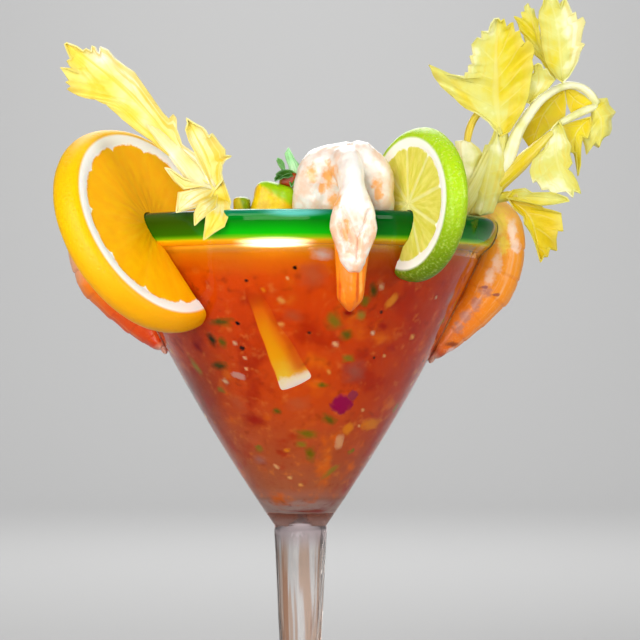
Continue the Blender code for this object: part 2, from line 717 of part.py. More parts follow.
def make_cocktail(collection):
    """The sauce, filling the bowl up to its lumpy surface."""
    inset = GAP * 1.15
    edge = well_radius(SAUCE_LEVEL) - inset
    top = [(edge * i / SURFACE_RINGS, SAUCE_LEVEL) for i in range(SURFACE_RINGS + 1)]
    sides = [(well_radius(z) - inset, z) for z in wall_heights(SAUCE_LEVEL, WELL_Z + WELL_TURN, 5)]
    profile = top + sides[1:] + list(reversed(well_bottom(inset, 3)))
    cocktail = baked(turned("cocktail", profile, TURN_STEPS, collection))
    for vert in cocktail.data.vertices:
        from_axis = math.hypot(vert.co.x, vert.co.y)
        if vert.co.z > (SAUCE_LEVEL - 0.5) * MM and from_axis < (edge - 1.0) * MM:
            lump = noise.noise(vert.co / (SURFACE_LUMP * MM))
            vert.co.z += SURFACE_RELIEF * MM * lump
    cocktail.data.materials.append(material("cocktail_sauce", (0.72, 0.16, 0.02), 0.2))
    return cocktail


def make_room_in(cocktail, pieces, cutters):
    """Cuts the sauce round everything that stands in it."""
    for piece in pieces:
        room = grown(piece, GAP * 1.3, cutters)
        baked(boolean(cocktail, "DIFFERENCE", room))
    return keep_largest(cocktail)


def main():
    clear_scene()
    parts = new_collection("shrimp_cocktail")
    cutters = new_collection("cutters")
    make_glass(parts)
    make_rim(parts)
    rim_room = make_rim_room(cutters)
    cocktail = make_cocktail(parts)

    orange_skin = material("orange", (1.0, 0.42, 0.01), 0.35)
    lime_skin = material("lime", (0.42, 0.68, 0.04), 0.3)
    shrimp_meat = material("shrimp", (0.95, 0.50, 0.28), 0.3)
    celery_green = material("celery", (0.88, 0.85, 0.28), 0.45)
    avocado_flesh = material("avocado", (0.62, 0.66, 0.06), 0.4)
    tomato_flesh = material("tomato", (0.62, 0.08, 0.02), 0.25)
    herb_green = material("herb", (0.12, 0.32, 0.06), 0.5)

    garnish = [
        make_wheel("orange_wheel", ORANGE, orange_skin, rim_room, parts),
        make_wheel("lime_wheel", LIME, lime_skin, rim_room, parts),
        make_side_shrimp(
            "shrimp_left", LEFT_AZIMUTH, LEFT_LIFT, LEFT_PLUMP, shrimp_meat, rim_room, parts
        ),
        make_side_shrimp("shrimp_right", RIGHT_AZIMUTH, 0.0, 1.0, shrimp_meat, rim_room, parts),
        make_front_shrimp(shrimp_meat, rim_room, parts),
        make_left_celery(celery_green, parts),
        make_right_celery(celery_green, parts),
        make_cilantro(herb_green, parts),
        make_chunk("avocado_chunk", AVOCADO, avocado_flesh, parts),
        make_chunk("avocado_piece", AVOCADO_SMALL, avocado_flesh, parts),
        make_chunk("tomato_dice", TOMATO, tomato_flesh, parts),
    ]
    make_room_in(cocktail, garnish, cutters)


main()
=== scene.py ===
"""Looks of a cup of shrimp cocktail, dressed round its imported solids.

Lengths are in millimetres, and MM turns them into Blender's metres. +Z is up, -Y is the shown
front, and the origin is the centre of the glass's foot.
"""

from __future__ import annotations

import logging
import math
import random
from dataclasses import dataclass
from enum import Enum
from typing import Callable, Sequence

import bpy
from mathutils import Matrix, Vector, noise


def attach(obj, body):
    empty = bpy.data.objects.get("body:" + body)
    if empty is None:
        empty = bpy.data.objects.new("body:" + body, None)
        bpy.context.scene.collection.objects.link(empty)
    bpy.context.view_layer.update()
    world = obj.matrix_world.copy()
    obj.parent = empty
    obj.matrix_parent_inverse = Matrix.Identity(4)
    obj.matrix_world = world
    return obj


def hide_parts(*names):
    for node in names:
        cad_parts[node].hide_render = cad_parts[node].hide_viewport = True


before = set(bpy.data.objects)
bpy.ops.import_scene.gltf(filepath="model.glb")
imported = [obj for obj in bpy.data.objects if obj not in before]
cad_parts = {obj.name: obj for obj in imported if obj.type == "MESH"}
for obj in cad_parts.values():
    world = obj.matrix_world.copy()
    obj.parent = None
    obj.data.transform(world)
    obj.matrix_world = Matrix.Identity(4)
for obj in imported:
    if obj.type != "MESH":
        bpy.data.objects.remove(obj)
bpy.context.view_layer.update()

MM = 0.001
BODY = "root"
UP = Vector((0.0, 0.0, 1.0))
Station = tuple[float, ...]
Colour = tuple[float, ...]
Piece = bpy.types.Object
Material = bpy.types.Material
log = logging.getLogger("shrimp_cocktail")


def linear(colour: Value | Colour) -> Value | Colour:
    """Turns a colour as seen, 0 to 255 a channel, into a linear one.

    Args:
        colour: Its red, green and blue, or what is linear already: four channels or a link.

    Returns:
        The linear colour with full alpha.
    """
    if isinstance(colour, Value) or len(colour) > 3:
        return colour
    channels = [
        c / 12.92 if c <= 0.04045 else ((c + 0.055) / 1.055) ** 2.4
        for c in (channel / 255 for channel in colour)
    ]
    return (*channels, 1.0)


def hermite(t: float, start: float, end: float, rise: float, fall: float) -> float:
    """A smooth curve from start to end with the slopes rise and fall at its ends."""
    rest = 1.0 - t
    return (
        start * (1 + 2 * t) * rest * rest
        + rise * t * rest * rest
        + end * t * t * (3 - 2 * t)
        - fall * t * t * rest
    )


def along(stations: Sequence[Station], t: float) -> Station:
    """A point of the smooth curve through stations.

    Args:
        stations: Rows of numbers that are all carried along.
        t: Place on the curve, from 0 to 1.

    Returns:
        One row of numbers.
    """
    place = min(max(t, 0.0), 1.0) * (len(stations) - 1)
    i = min(int(place), len(stations) - 2)
    u = place - i
    before, start = stations[max(i - 1, 0)], stations[i]
    end, after = stations[i + 1], stations[min(i + 2, len(stations) - 1)]
    return tuple(
        hermite(u, b, c, (c - a) / 2, (d - b) / 2)
        for a, b, c, d in zip(before, start, end, after)
    )


def smooth(low: float, high: float, value: float) -> float:
    """Rises smoothly from 0 at low to 1 at high."""
    t = min(max((value - low) / (high - low), 0.0), 1.0)
    return t * t * (3 - 2 * t)


def lump(point: Vector, size: float, seed: float = 0.0) -> float:
    """Smooth noise of about -1 to 1, with lumps of the given size."""
    return noise.noise(point / size + Vector((seed, 1.7 * seed, 0.3 * seed)))


def on_ball(unit: Vector) -> tuple[float, float]:
    """Share of the way from a unit ball's lower pole to its upper one, and angle round it."""
    t = math.acos(max(min(-unit.z, 1.0), -1.0)) / math.pi
    return t, math.atan2(unit.y, unit.x)


def rounded(t: float, start: float, end: float) -> float:
    """Width of a rod that is rounded off over its shares start and end, 1 between them."""
    nearest = min(t / start, (1.0 - t) / end, 1.0)
    return math.sqrt(max(1.0 - (1.0 - nearest) ** 2, 0.0))


def heading(stations: Sequence[Station], t: float) -> Vector:
    """Direction at t of a rod whose stations begin with x, y and z."""
    before, after = along(stations, t - 0.02), along(stations, t + 0.02)
    return (Vector(after[:3]) - Vector(before[:3])).normalized()


# ---- shading
Shade = "Value | Colour"


def math_node(operation: str, reflected: bool = False) -> Callable[..., Value]:
    """A method that adds one Math node.

    Args:
        operation: The node's operation.
        reflected: Whether the value comes last.

    Returns:
        The method.
    """

    def method(self: Value, *others: Value | float) -> Value:
        """Adds the node."""
        terms = (*others, self) if reflected else (self, *others)
        sockets = dict(enumerate(terms))
        return self.painter.make("ShaderNodeMath", {"operation": operation}, sockets)

    return method


class Value:
    """A shader socket that can be worked with like a number."""

    __add__, __radd__ = math_node("ADD"), math_node("ADD", reflected=True)
    __sub__, __rsub__ = math_node("SUBTRACT"), math_node("SUBTRACT", reflected=True)
    __mul__, __rmul__ = math_node("MULTIPLY"), math_node("MULTIPLY", reflected=True)
    __truediv__, __pow__ = math_node("DIVIDE"), math_node("POWER")
    __abs__, sine = math_node("ABSOLUTE"), math_node("SINE")
    angle_to = math_node("ARCTAN2")  # the angle of the direction (other, self)
    either = math_node("MAXIMUM")  # the larger of two masks

    def __init__(self, painter: Painter, socket: bpy.types.NodeSocket) -> None:
        """Wraps a socket of the painter's material."""
        self.painter = painter
        self.socket = socket

    def step(self, low: float, high: float) -> Value:
        """A mask that rises smoothly from 0 at low to 1 at high, or falls if high is lower."""
        settings = {"interpolation_type": "SMOOTHSTEP"}
        sockets = {0: self, 1: low, 2: high}
        if low > high:
            sockets = {0: self, 1: high, 2: low, 3: 1.0, 4: 0.0}
        return self.painter.make("ShaderNodeMapRange", settings, sockets)


class Painter:
    """Builds one material on a Principled shader."""

    def __init__(self, name: str, **even: float | tuple[float, ...]) -> None:
        """Starts the material.

        Args:
            name: The material's name.
            even: Values that are the same all over, by socket name with _ for each space.
        """
        self.material = bpy.data.materials.new(name)
        self.material.use_nodes = True
        self.tree = self.material.node_tree
        self.shader = self.tree.nodes["Principled BSDF"]
        for socket, value in even.items():
            self.shader.inputs[socket.replace("_", " ")].default_value = value

    def make(
        self,
        kind: str,
        settings: dict[str, object] | None = None,
        sockets: dict[int | str, object] | None = None,
        out: int | str = 0,
    ) -> Value:
        """Adds a node.

        Args:
            kind: Blender's name for the node's type.
            settings: What is set before its sockets; stops are a ramp's places and colours.
            sockets: Numbers, colours or links, by the socket's name or place.
            out: The output to go on with.

        Returns:
            The node's output.
        """
        node = self.tree.nodes.new(kind)
        for name, value in (settings or {}).items():
            if name == "stops":
                self._set_stops(node.color_ramp, value)
            else:
                setattr(node, name, value)
        for name, value in (sockets or {}).items():
            if isinstance(value, Value):
                self.tree.links.new(value.socket, node.inputs[name])
            else:
                node.inputs[name].default_value = value
        return Value(self, node.outputs[out])

    @staticmethod
    def _set_stops(ramp: bpy.types.ColorRamp, stops: Sequence[tuple]) -> None:
        """Gives a ramp its places and colours."""
        while len(ramp.elements) < len(stops):
            ramp.elements.new(1.0)
        for element, (place, colour) in zip(ramp.elements, stops):
            element.position = place
            element.color = linear(colour)

    def place(self) -> Value:
        """The point of the object being shaded, in metres."""
        return self.make("ShaderNodeTexCoord", out="Object")

    def mark(self, name: str) -> Value:
        """A value kept on the mesh's points."""
        return self.make("ShaderNodeAttribute", {"attribute_name": name}, out="Fac")

    def split(self, vector: Value) -> tuple[Value, Value, Value]:
        """A vector's X, Y and Z."""
        parts = self.make("ShaderNodeSeparateXYZ", sockets={0: vector})
        outputs = parts.socket.node.outputs
        return tuple(Value(self, outputs[axis]) for axis in "XYZ")

    def axes(self) -> tuple[Value, Value, Value]:
        """The shaded point's X, Y and Z, in millimetres."""
        return tuple(axis / MM for axis in self.split(self.place()))

    def join(self, x: Value | float, y: Value | float, z: Value | float = 0.0) -> Value:
        """A vector from its parts."""
        return self.make("ShaderNodeCombineXYZ", sockets={0: x, 1: y, 2: z})

    def turned(self, vector: Value, centre: Vector, turn: Matrix) -> Value:
        """A point as seen from a piece's own middle and turn.

        Args:
            vector: The point.
            centre: The piece's middle, in metres.
            turn: The piece's turn.

        Returns:
            The point in the piece's own axes.
        """
        sockets = {"Vector": vector, "Location": centre, "Rotation": turn.to_euler()}
        return self.make("ShaderNodeMapping", {"vector_type": "TEXTURE"}, sockets)

    def noise(self, vector: Value, size: float, detail: float = 2.0, rough: float = 0.5) -> Value:
        """Noise from 0 to 1 whose lumps have the given size in the vector's units."""
        sockets = {"Vector": vector, "Scale": 1.0 / size, "Detail": detail, "Roughness": rough}
        return self.make("ShaderNodeTexNoise", sockets=sockets)

    def cells(self, vector: Value, size: float) -> Value:
        """Distance from the middle of a cell, 0 at the middle."""
        return self.make("ShaderNodeTexVoronoi", sockets={"Vector": vector, "Scale": 1.0 / size})

    def mix(self, factor: Value | float, first: Shade, second: Shade) -> Value:
        """Blends two colours."""
        sockets = {0: factor, 6: linear(first), 7: linear(second)}
        return self.make("ShaderNodeMix", {"data_type": "RGBA"}, sockets, out=2)

    def ramp(self, value: Value, stops: Sequence[tuple]) -> Value:
        """Colours along a value from 0 to 1."""
        return self.make("ShaderNodeValToRGB", {"stops": stops}, {0: value})

    def spot(self, ragged: Value | float, *spots: Sequence[float]) -> Value:
        """A mask of soft oval spots on the shown side.

        Args:
            ragged: What is added to the distance from a spot's middle, its edge being at 1.
            spots: Each spot's middle, across and up, and its half width and half height.

        Returns:
            The mask.
        """
        x, _, z = self.axes()
        mask: Value | None = None
        for middle_x, middle_z, half_x, half_z in spots:
            aside, above = (x - middle_x) / half_x, (z - middle_z) / half_z
            here = ((aside * aside + above * above) ** 0.5 + ragged).step(1.15, 0.35)
            mask = here if mask is None else mask.either(here)
        return mask

    def feed(self, socket: str, value: Value) -> None:
        """Links a value to the shader."""
        self.tree.links.new(value.socket, self.shader.inputs[socket])

    def raise_by(self, height: Value, depth: float, strength: float) -> None:
        """Gives the surface fine relief.

        Args:
            height: Relief from 0 to 1.
            depth: Millimetres from 0 to 1.
            strength: How much of it shows.
        """
        sockets = {"Height": height, "Distance": depth * MM, "Strength": strength}
        self.feed("Normal", self.make("ShaderNodeBump", sockets=sockets))


# ---- modelling
Rule = Callable[[Vector], Vector]
Marked = tuple[Vector, dict[str, float]]
MarkedRule = Callable[[Vector], Marked]


class Bench:
    """The steps that every piece is modelled with."""

    @staticmethod
    def take(*objs: Piece) -> None:
        """Selects these objects alone, the first of them active."""
        bpy.ops.object.select_all(action="DESELECT")
        for obj in objs:
            obj.select_set(True)
        bpy.context.view_layer.objects.active = objs[0]

    @staticmethod
    def named(name: str) -> Piece:
        """Names the object that an operator has just added."""
        obj = bpy.context.active_object
        obj.name = obj.data.name = name
        return obj

    def add(self, name: str, primitive: Callable, **settings: object) -> Piece:
        """Adds a primitive, with nothing else selected.

        Args:
            name: The piece's name.
            primitive: The operator that adds it.
            settings: The operator's settings.

        Returns:
            The piece.
        """
        bpy.ops.object.select_all(action="DESELECT")
        primitive(**settings)
        return self.named(name)

    def mould(self, obj: Piece, rule: MarkedRule) -> Piece:
        """Moves each point of a mesh, and keeps values on it.

        Args:
            obj: The piece.
            rule: Gives a point's new place in millimetres, and its values by name, from its
                old place in the mesh's units.

        Returns:
            The piece.
        """
        kept: dict[str, list[float]] = {}
        for vertex in obj.data.vertices:
            place, marks = rule(vertex.co.copy())
            vertex.co = place * MM
            for name, value in marks.items():
                kept.setdefault(name, []).append(value)
        for name, values in kept.items():
            layer = obj.data.attributes.new(name, "FLOAT", "POINT")
            layer.data.foreach_set("value", values)
        return obj

    def ball(self, name: str, sides: int, rings: int, rule: MarkedRule) -> Piece:
        """Moulds a unit ball, its poles on Z."""
        add = bpy.ops.mesh.primitive_uv_sphere_add
        return self.mould(self.add(name, add, segments=sides, ring_count=rings, radius=1.0), rule)

    def sheet(self, name: str, columns: int, rows: int, rule: MarkedRule) -> Piece:
        """Moulds a flat unit sheet, from -0.5 to 0.5 in X and Y."""
        add = bpy.ops.mesh.primitive_grid_add
        obj = self.add(name, add, x_subdivisions=columns, y_subdivisions=rows, size=1.0)
        return self.mould(obj, rule)

    def shift(self, obj: Piece, rule: Rule) -> Piece:
        """Moves each point of a finished mesh, old and new places in millimetres."""
        return self.mould(obj, lambda point: (rule(point / MM), {}))

    def puff(self, obj: Piece, rule: Callable[[Vector], float]) -> Piece:
        """Moves each point along its normal by what the rule gives, in millimetres."""
        normals = [vertex.normal.copy() for vertex in obj.data.vertices]
        for vertex, normal in zip(obj.data.vertices, normals):
            vertex.co += normal * rule(vertex.co / MM) * MM
        return obj

    def turned(
        self, name: str, profile: Sequence[tuple[float, float]], steps: int, closed: bool = False
    ) -> Piece:
        """Spins a profile about the upright axis.

        Args:
            name: The piece's name.
            profile: Radius and height of its points in order.
            steps: Sides of the turned piece.
            closed: Whether the profile's end meets its start.

        Returns:
            The piece, its faces turned outwards.
        """
        obj = self.add(name, bpy.ops.mesh.primitive_plane_add, size=MM)
        bpy.ops.object.mode_set(mode="EDIT")
        bpy.ops.mesh.merge(type="CENTER")
        points = [Vector((radius, 0.0, height)) * MM for radius, height in profile]
        bpy.ops.transform.translate(value=points[0])
        for start, end in zip(points, points[1:]):
            bpy.ops.mesh.extrude_region_move(TRANSFORM_OT_translate={"value": end - start})
        bpy.ops.object.mode_set(mode="OBJECT")
        if closed:
            for vertex in obj.data.vertices:
                vertex.select = vertex.index in (0, len(points) - 1)
        bpy.ops.object.mode_set(mode="EDIT")
        if closed:
            bpy.ops.mesh.edge_face_add()
        bpy.ops.mesh.select_all(action="SELECT")
        bpy.ops.mesh.spin(steps=steps, angle=math.tau, center=(0, 0, 0), axis=(0, 0, 1))
        bpy.ops.mesh.select_all(action="SELECT")
        bpy.ops.mesh.remove_doubles(threshold=0.01 * MM)
        bpy.ops.mesh.normals_make_consistent(inside=False)
        bpy.ops.object.mode_set(mode="OBJECT")
        return obj

    def modify(self, obj: Piece, kind: str, **settings: object) -> Piece:
        """Adds a modifier and applies it.

        Args:
            obj: The piece.
            kind: Blender's name for the modifier's type.
            settings: The modifier's settings.

        Returns:
            The piece.
        """
        self.take(obj)
        modifier = obj.modifiers.new(kind.lower(), kind)
        for name, value in settings.items():
            setattr(modifier, name, value)
        bpy.ops.object.modifier_apply(modifier=modifier.name)
        return obj

    def joined(self, name: str, pieces: Sequence[Piece]) -> Piece:
        """Joins meshes into one object."""
        self.take(*pieces)
        if len(pieces) > 1:
            bpy.ops.object.join()
        return self.named(name)

    def trim(self, obj: Piece, cutter: Piece, folded: bool = False) -> Piece:
        """Cuts a piece by another, and keeps the largest loose body, bare of materials.

        Args:
            obj: The piece.
            cutter: What cuts it, and is left.
            folded: Whether the piece is folded into itself.

        Returns:
            The piece.
        """
        self.modify(obj, "BOOLEAN", operation="DIFFERENCE", object=cutter, use_self=folded)
        self.take(obj)
        bpy.ops.object.mode_set(mode="EDIT")
        bpy.ops.mesh.separate(type="LOOSE")
        bpy.ops.object.mode_set(mode="OBJECT")
        bodies = sorted(bpy.context.selected_objects, key=lambda o: -len(o.data.vertices))
        name = obj.name
        for body in bodies[1:]:
            bpy.data.objects.remove(body)
        self.take(bodies[0])
        bodies[0].data.materials.clear()
        return self.named(name)

    def finish(
        self,
        obj: Piece,
        slot: str,
        replaced: Sequence[str],
        materials: Sequence[Material],
        crease: float = 60.0,
    ) -> Piece:
        """Shades, paints and hands over a piece.

        Args:
            obj: The piece.
            slot: The material slot that it belongs to; not used.
            replaced: The CAD nodes that it stands for.
            materials: Its materials, in the order of its material places.
            crease: Degrees above which an edge stays sharp.

        Returns:
            The piece.
        """
        self.take(obj)
        bpy.ops.object.shade_smooth_by_angle(angle=math.radians(crease))
        for i, material in enumerate(materials):
            if i < len(obj.data.materials):
                obj.data.materials[i] = material
            else:
                obj.data.materials.append(material)
        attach(obj, BODY)
        if replaced:
            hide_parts(*replaced)
        log.info("%s: %d faces", obj.name, len(obj.data.polygons))
        return obj


BENCH = Bench()


# ---- the glass
@dataclass(frozen=True)
class Bowl:
    """The wall of the bowl, which the contents and the garnish are fitted to."""

    band_z: float = 168.0
    band_radius: float = 59.2
    foot_of_bowl: float = 79.0
    root_radius: float = 8.4
    root_flare: float = 0.70
    rim_flare: float = 0.47
    wall: float = 2.7
    well_z: float = 86.0
    well_turn: float = 5.0
    reach: float = 0.25
    rim_centre: float = 59.9
    rim_half_width: float = 3.6
    rim_lean: float = 0.3
    rim_top: float = 178.0

    def outer(self, z: float) -> float:
        """Outer radius at a height."""
        rise = self.band_z - self.foot_of_bowl
        t = (z - self.foot_of_bowl) / rise
        slopes = (self.root_flare * rise, self.rim_flare * rise)
        return hermite(t, self.root_radius, self.band_radius, *slopes)

    def inner(self, z: float) -> float:
        """Inner radius at a height above the well's round bottom."""
        return self.outer(z) - self.wall

    def well(self, count: int, out: float = 0.0) -> list[tuple[float, float]]:
        """The well's round bottom, from the axis to the wall, moved out by out."""
        turn_z = self.well_z + self.well_turn
        reach = self.inner(turn_z) + out
        angles = [math.pi / 2 * i / count for i in range(count)]
        drop = self.well_turn + out
        return [(reach * math.sin(a), turn_z - drop * math.cos(a)) for a in angles]

    @staticmethod
    def heights(low: float, high: float, count: int) -> list[float]:
        """Even heights from low to high."""
        return [low + (high - low) * i / (count - 1) for i in range(count)]

    def rim_point(self, angle: float, grow: float = 0.0, square: float = 1.0) -> tuple:
        """A point of the lip's section.

        Args:
            angle: From 0 on its outer side, up and over.
            grow: How far outside the section, in millimetres.
            square: 1 for an oval, less for squarer.

        Returns:
            Radius and height.
        """
        half_height = (self.rim_top - self.band_z - 0.2) / 2
        middle = self.rim_top - half_height
        sine, cosine = math.sin(angle), math.cos(angle)
        rise = (half_height + grow) * math.copysign(abs(sine) ** square, sine)
        out = (self.rim_half_width + grow) * math.copysign(abs(cosine) ** square, cosine)
        return self.rim_centre + out + self.rim_lean * rise, middle + rise

    def against(self, angle: float, z: float, depth: float) -> Vector:
        """A point on the inside of the wall, depth inwards of where the sauce ends."""
        radius = self.inner(z) + self.reach - depth
        return Vector((radius * math.cos(angle), radius * math.sin(angle), z))

    def front_angle(self, x: float, z: float) -> float:
        """The direction of the point of the front wall that is seen at x and z."""
        return -math.acos(min(max(x / self.inner(z), -0.98), 0.98))


BOWL = Bowl()
BLACK = (0, 0, 0)
WHITE = (1.0, 1.0, 1.0, 1.0)
GLARE = (-7.2, 168.5, 11.6, 1.35)
# masks, each from the place where it is 0 to the place where it is 1
FRONT = (-10.0, -30.0)
ROOT_LOW, ROOT_HIGH = (70.0, 78.0), (92.0, 84.0)
STEM_TOP = (84.0, 76.0)
STREAKS_FROM = (20.0, 44.0)
LIP_LINE, LIP_LINE_ACROSS = (167.0, 168.2), (46.0, -24.0)
GREEN_BODY = (169.0, 171.0)


def glare(painter: Painter) -> Value:
    """A mask of the white glare on the front of the lip's lower edge."""
    return painter.spot(0.0, GLARE) * painter.axes()[1].step(*FRONT)


def edge_light(painter: Painter, above: float, full: float) -> None:
    """Lights the place where the lip meets the wall: a yellow line with a white glare.

    Args:
        painter: The glass's painter.
        above: Height at which the line has faded out.
        full: Height at which it begins to fade.
    """
    x, _, z = painter.axes()
    seen = z.step(above, full) * z.step(*LIP_LINE) * x.step(*LIP_LINE_ACROSS)
    line = painter.mix(seen, BLACK, (120, 64, 0))
    painter.feed("Emission Color", painter.mix(glare(painter), line, (236, 232, 206)))


def clear_glass() -> Material:
    """Clear blown glass with slight waves, and painted reflections streaked along the stem."""
    painter = Painter(
        "clear_glass", Roughness=0.0, IOR=1.45, Specular_Tint=(0.3, 0.3, 0.3, 1.0),
        Transmission_Weight=1.0, Emission_Strength=1.0,
    )
    x, y, z = painter.split(painter.place())
    height = z / MM

    def drawn(squash: float, size: float) -> Value:
        """Noise that is drawn out upwards."""
        return painter.noise(painter.join(x, y, z * squash), size * MM, 1.0)

    root = height.step(*ROOT_LOW) * height.step(*ROOT_HIGH)
    stem = height.step(*STEM_TOP)
    clear = painter.mix(stem, (0.96, 0.975, 0.98, 1.0), (0.88, 0.84, 0.82, 1.0))
    # painted reflections: warm streaks down the stem
    reflected = drawn(0.05, 3.4).step(0.5, 0.6) * stem * height.step(*STREAKS_FROM)
    clear = painter.mix(reflected, clear, (206, 158, 130))
    painter.feed("Base Color", painter.mix(root, clear, (214, 196, 198)))
    edge_light(painter, 171.0, 170.0)
    waves = drawn(0.25, 7.0) + drawn(0.06, 2.6) * height.step(84.0, 74.0) * 3.0
    painter.raise_by(waves, 0.6, 0.45)
    return painter.material


def green_glass() -> Material:
    """Deep green glass, with a painted teal reflection on top and painted yellow light at its
    lower edge.
    """
    painter = Painter(
        "green_glass", Roughness=0.03, IOR=1.4, Transmission_Weight=0.2,
        Specular_Tint=(0.35, 0.35, 0.35, 1.0), Emission_Strength=1.0,
    )
    x, _, z = painter.axes()
    deep = painter.ramp((z - BOWL.band_z) / 10.0, (
        # painted yellow light at the lower edge, a painted teal reflection at the top
        (0.0, (255, 200, 30)), (0.10, (246, 226, 20)), (0.17, (150, 230, 6)),
        (0.27, (10, 210, 4)), (0.45, (0, 176, 4)), (0.65, (0, 132, 6)),
        (0.80, (0, 138, 40)), (0.92, (16, 132, 96)), (1.0, (40, 150, 120)),
    ))
    body = z.step(*GREEN_BODY)
    # painted shade to the right
    deep = painter.mix(x.step(10.0, 24.0) * body * 0.75, deep, (0, 78, 18))
    # painted shade to the left
    deep = painter.mix(x.step(-21.0, -33.0) * body * 0.8, deep, (52, 70, 3))
    # painted highlight on the top edge
    painted_highlight = painter.spot(0.0, (-1.0, 177.0, 10.0, 1.6))
    painter.feed("Base Color", painter.mix(painted_highlight * 0.7, deep, (120, 224, 220)))
    edge_light(painter, 169.7, 168.9)
    painter.raise_by(painter.noise(painter.place(), 9.0 * MM, 1.0), 0.5, 0.25)
    return painter.material


@dataclass
class Glass:
    """The stemmed glass with its green lip."""

    steps: int = 112
    stem: Sequence[Station] = (
        (8.6, 77), (8.1, 68), (7.4, 52), (6.6, 36), (6.5, 24), (7.4, 14),
        (10.5, 8.5), (17, 5.6), (30, 3.9), (41.2, 3), (42, 1.8), (40.6, 0),
    )
    kick: Sequence[tuple[float, float]] = ((34.0, 0.0), (26.0, 0.7), (12.0, 1.3), (0.0, 1.5))
    lap: float = 1.2
    fillet: float = 1.4
    lip_sides: int = 28
    lip_square: float = 0.82

    def build(self) -> None:
        """Models the body and the lip."""
        inside = BOWL.well(10)
        turn_z = BOWL.well_z + BOWL.well_turn
        top_z = BOWL.band_z + self.lap
        inside += [(BOWL.inner(z), z) for z in BOWL.heights(turn_z, top_z, 26)]
        outside = [
            (BOWL.outer(z) + self.fillet * smooth(165.5, top_z, z) ** 2, z)
            for z in BOWL.heights(top_z, BOWL.foot_of_bowl, 60)
        ]
        count = 4 * len(self.stem)
        stem = [along(self.stem, i / (count - 1)) for i in range(count)]
        profile = inside + outside + stem + list(self.kick)
        body = BENCH.turned("glass_body", profile, self.steps)
        BENCH.finish(body, "clear_glass", ["glass"], [clear_glass()])
        angles = [-math.tau * (i + 0.5) / self.lip_sides for i in range(self.lip_sides)]
        section = [BOWL.rim_point(angle, 0.0, self.lip_square) for angle in angles]
        lip = BENCH.turned("green_lip", section, self.steps, closed=True)
        BENCH.finish(lip, "green_glass", ["rim"], [green_glass()])

    def room(self, gap: float) -> Piece:
        """The space of wall and lip with a gap round it, which cuts what hangs there."""
        heights = BOWL.heights(BOWL.band_z - 1.0, 104.0, 22)
        top = [math.radians(a) for a in range(90, -61, -15)]
        back = [math.radians(a) for a in range(-120, -271, -15)]
        section = [BOWL.rim_point(a, gap, self.lip_square) for a in top]
        section += [(BOWL.outer(z) + gap, z) for z in heights]
        section += [(BOWL.inner(z) - gap, z) for z in reversed(heights)]
        section += [BOWL.rim_point(a, gap, self.lip_square) for a in back[:-1]]
        return BENCH.turned("rim_room", section, self.steps, closed=True)


# ---- the sauce
SAUCE_FOOT, SAUCE_DEPTH = 86.0, 82.0
SAUCE_TOP = (165.6, 166.2)


def sauce_colours(painter: Painter) -> Value:
    """The sauce's colour: orange under the rim, redder below, with painted light and shade."""
    place = painter.place()
    x, _, z = painter.axes()
    height = (z - SAUCE_FOOT) / SAUCE_DEPTH
    base = painter.ramp(height, (
        # a painted pale highlight in a thin ring at the very bottom, painted yellow light at the
        # very top
        (0.0, (250, 226, 214)), (0.02, (244, 206, 190)), (0.035, (206, 136, 110)),
        (0.08, (204, 112, 70)), (0.22, (214, 100, 48)), (0.42, (236, 88, 18)),
        (0.75, (242, 80, 4)), (0.88, (250, 92, 2)), (0.94, (255, 126, 2)),
        (0.985, (255, 160, 10)), (1.0, (255, 200, 40)),
    ))
    low = height.step(0.97, 0.86)
    blotch = painter.noise(place, 13.0 * MM, 3.0, 0.55)
    fine = painter.noise(place, 3.4 * MM, 3.0, 0.6)
    for mask, colour in (
        # painted shade: darker to the right
        (x.step(2.0, 40.0) * 0.7 * height.step(1.06, 0.94), (208, 54, 2)),
        # painted shade: darker low on the left
        (x.step(-18.0, -36.0) * height.step(0.66, 0.4) * 0.85, (120, 34, 2)),
        (blotch.step(0.52, 0.72) * low, (255, 122, 10)),
        (blotch.step(0.47, 0.3) * low * 0.8, (204, 46, 2)),
        (fine.step(0.54, 0.76) * low * 0.5, (255, 150, 60)),
        (fine.step(0.44, 0.26) * low * 0.5, (180, 48, 2)),
        # a painted glare, near white, below the lip
        (glare(painter), (255, 250, 226)),
    ):
        base = painter.mix(mask, base, colour)
    return base


def wet_top(painter: Painter) -> Value:
    """Gloss where the sauce meets the air, and none where it lies against the glass."""
    return painter.axes()[2].step(*SAUCE_TOP)


def sauce_paint() -> Material:
    """Thick tomato sauce, wet and a little see-through."""
    painter = Painter("tomato_sauce", Roughness=0.6, Specular_IOR_Level=0.0, Coat_Roughness=0.12)
    painter.feed("Base Color", sauce_colours(painter))
    painter.feed("Coat Weight", wet_top(painter))
    painter.raise_by(painter.noise(painter.place(), 1.6 * MM, 3.0), 0.4, 0.5)
    return painter.material


def bit_paint(name: str, tones: Sequence[tuple], soft: float) -> Material:
    """A small bit's finish: a colour by its own tone, blotched, its edges lost in the sauce.

    Args:
        name: The material's name.
        tones: Colours from tone 0 to 1.
        soft: Where the edge begins to fade, 0 in the middle and 0.8 at the edge.

    Returns:
        The material.
    """
    painter = Painter(name, Roughness=0.6, Specular_IOR_Level=0.0, Coat_Roughness=0.25)
    painter.feed("Coat Weight", wet_top(painter))
    blotch = painter.noise(painter.place(), 1.5 * MM) - 0.5
    stops = [(i / (len(tones) - 1), colour) for i, colour in enumerate(tones)]
    mixed = painter.ramp(painter.mark("tone") + blotch * (0.5 / len(tones)), stops)
    sauced = (painter.mark("edge") + blotch * 0.35).step(soft, 0.82)
    painter.feed("Base Color", painter.mix(sauced, mixed, sauce_colours(painter)))
    return painter.material


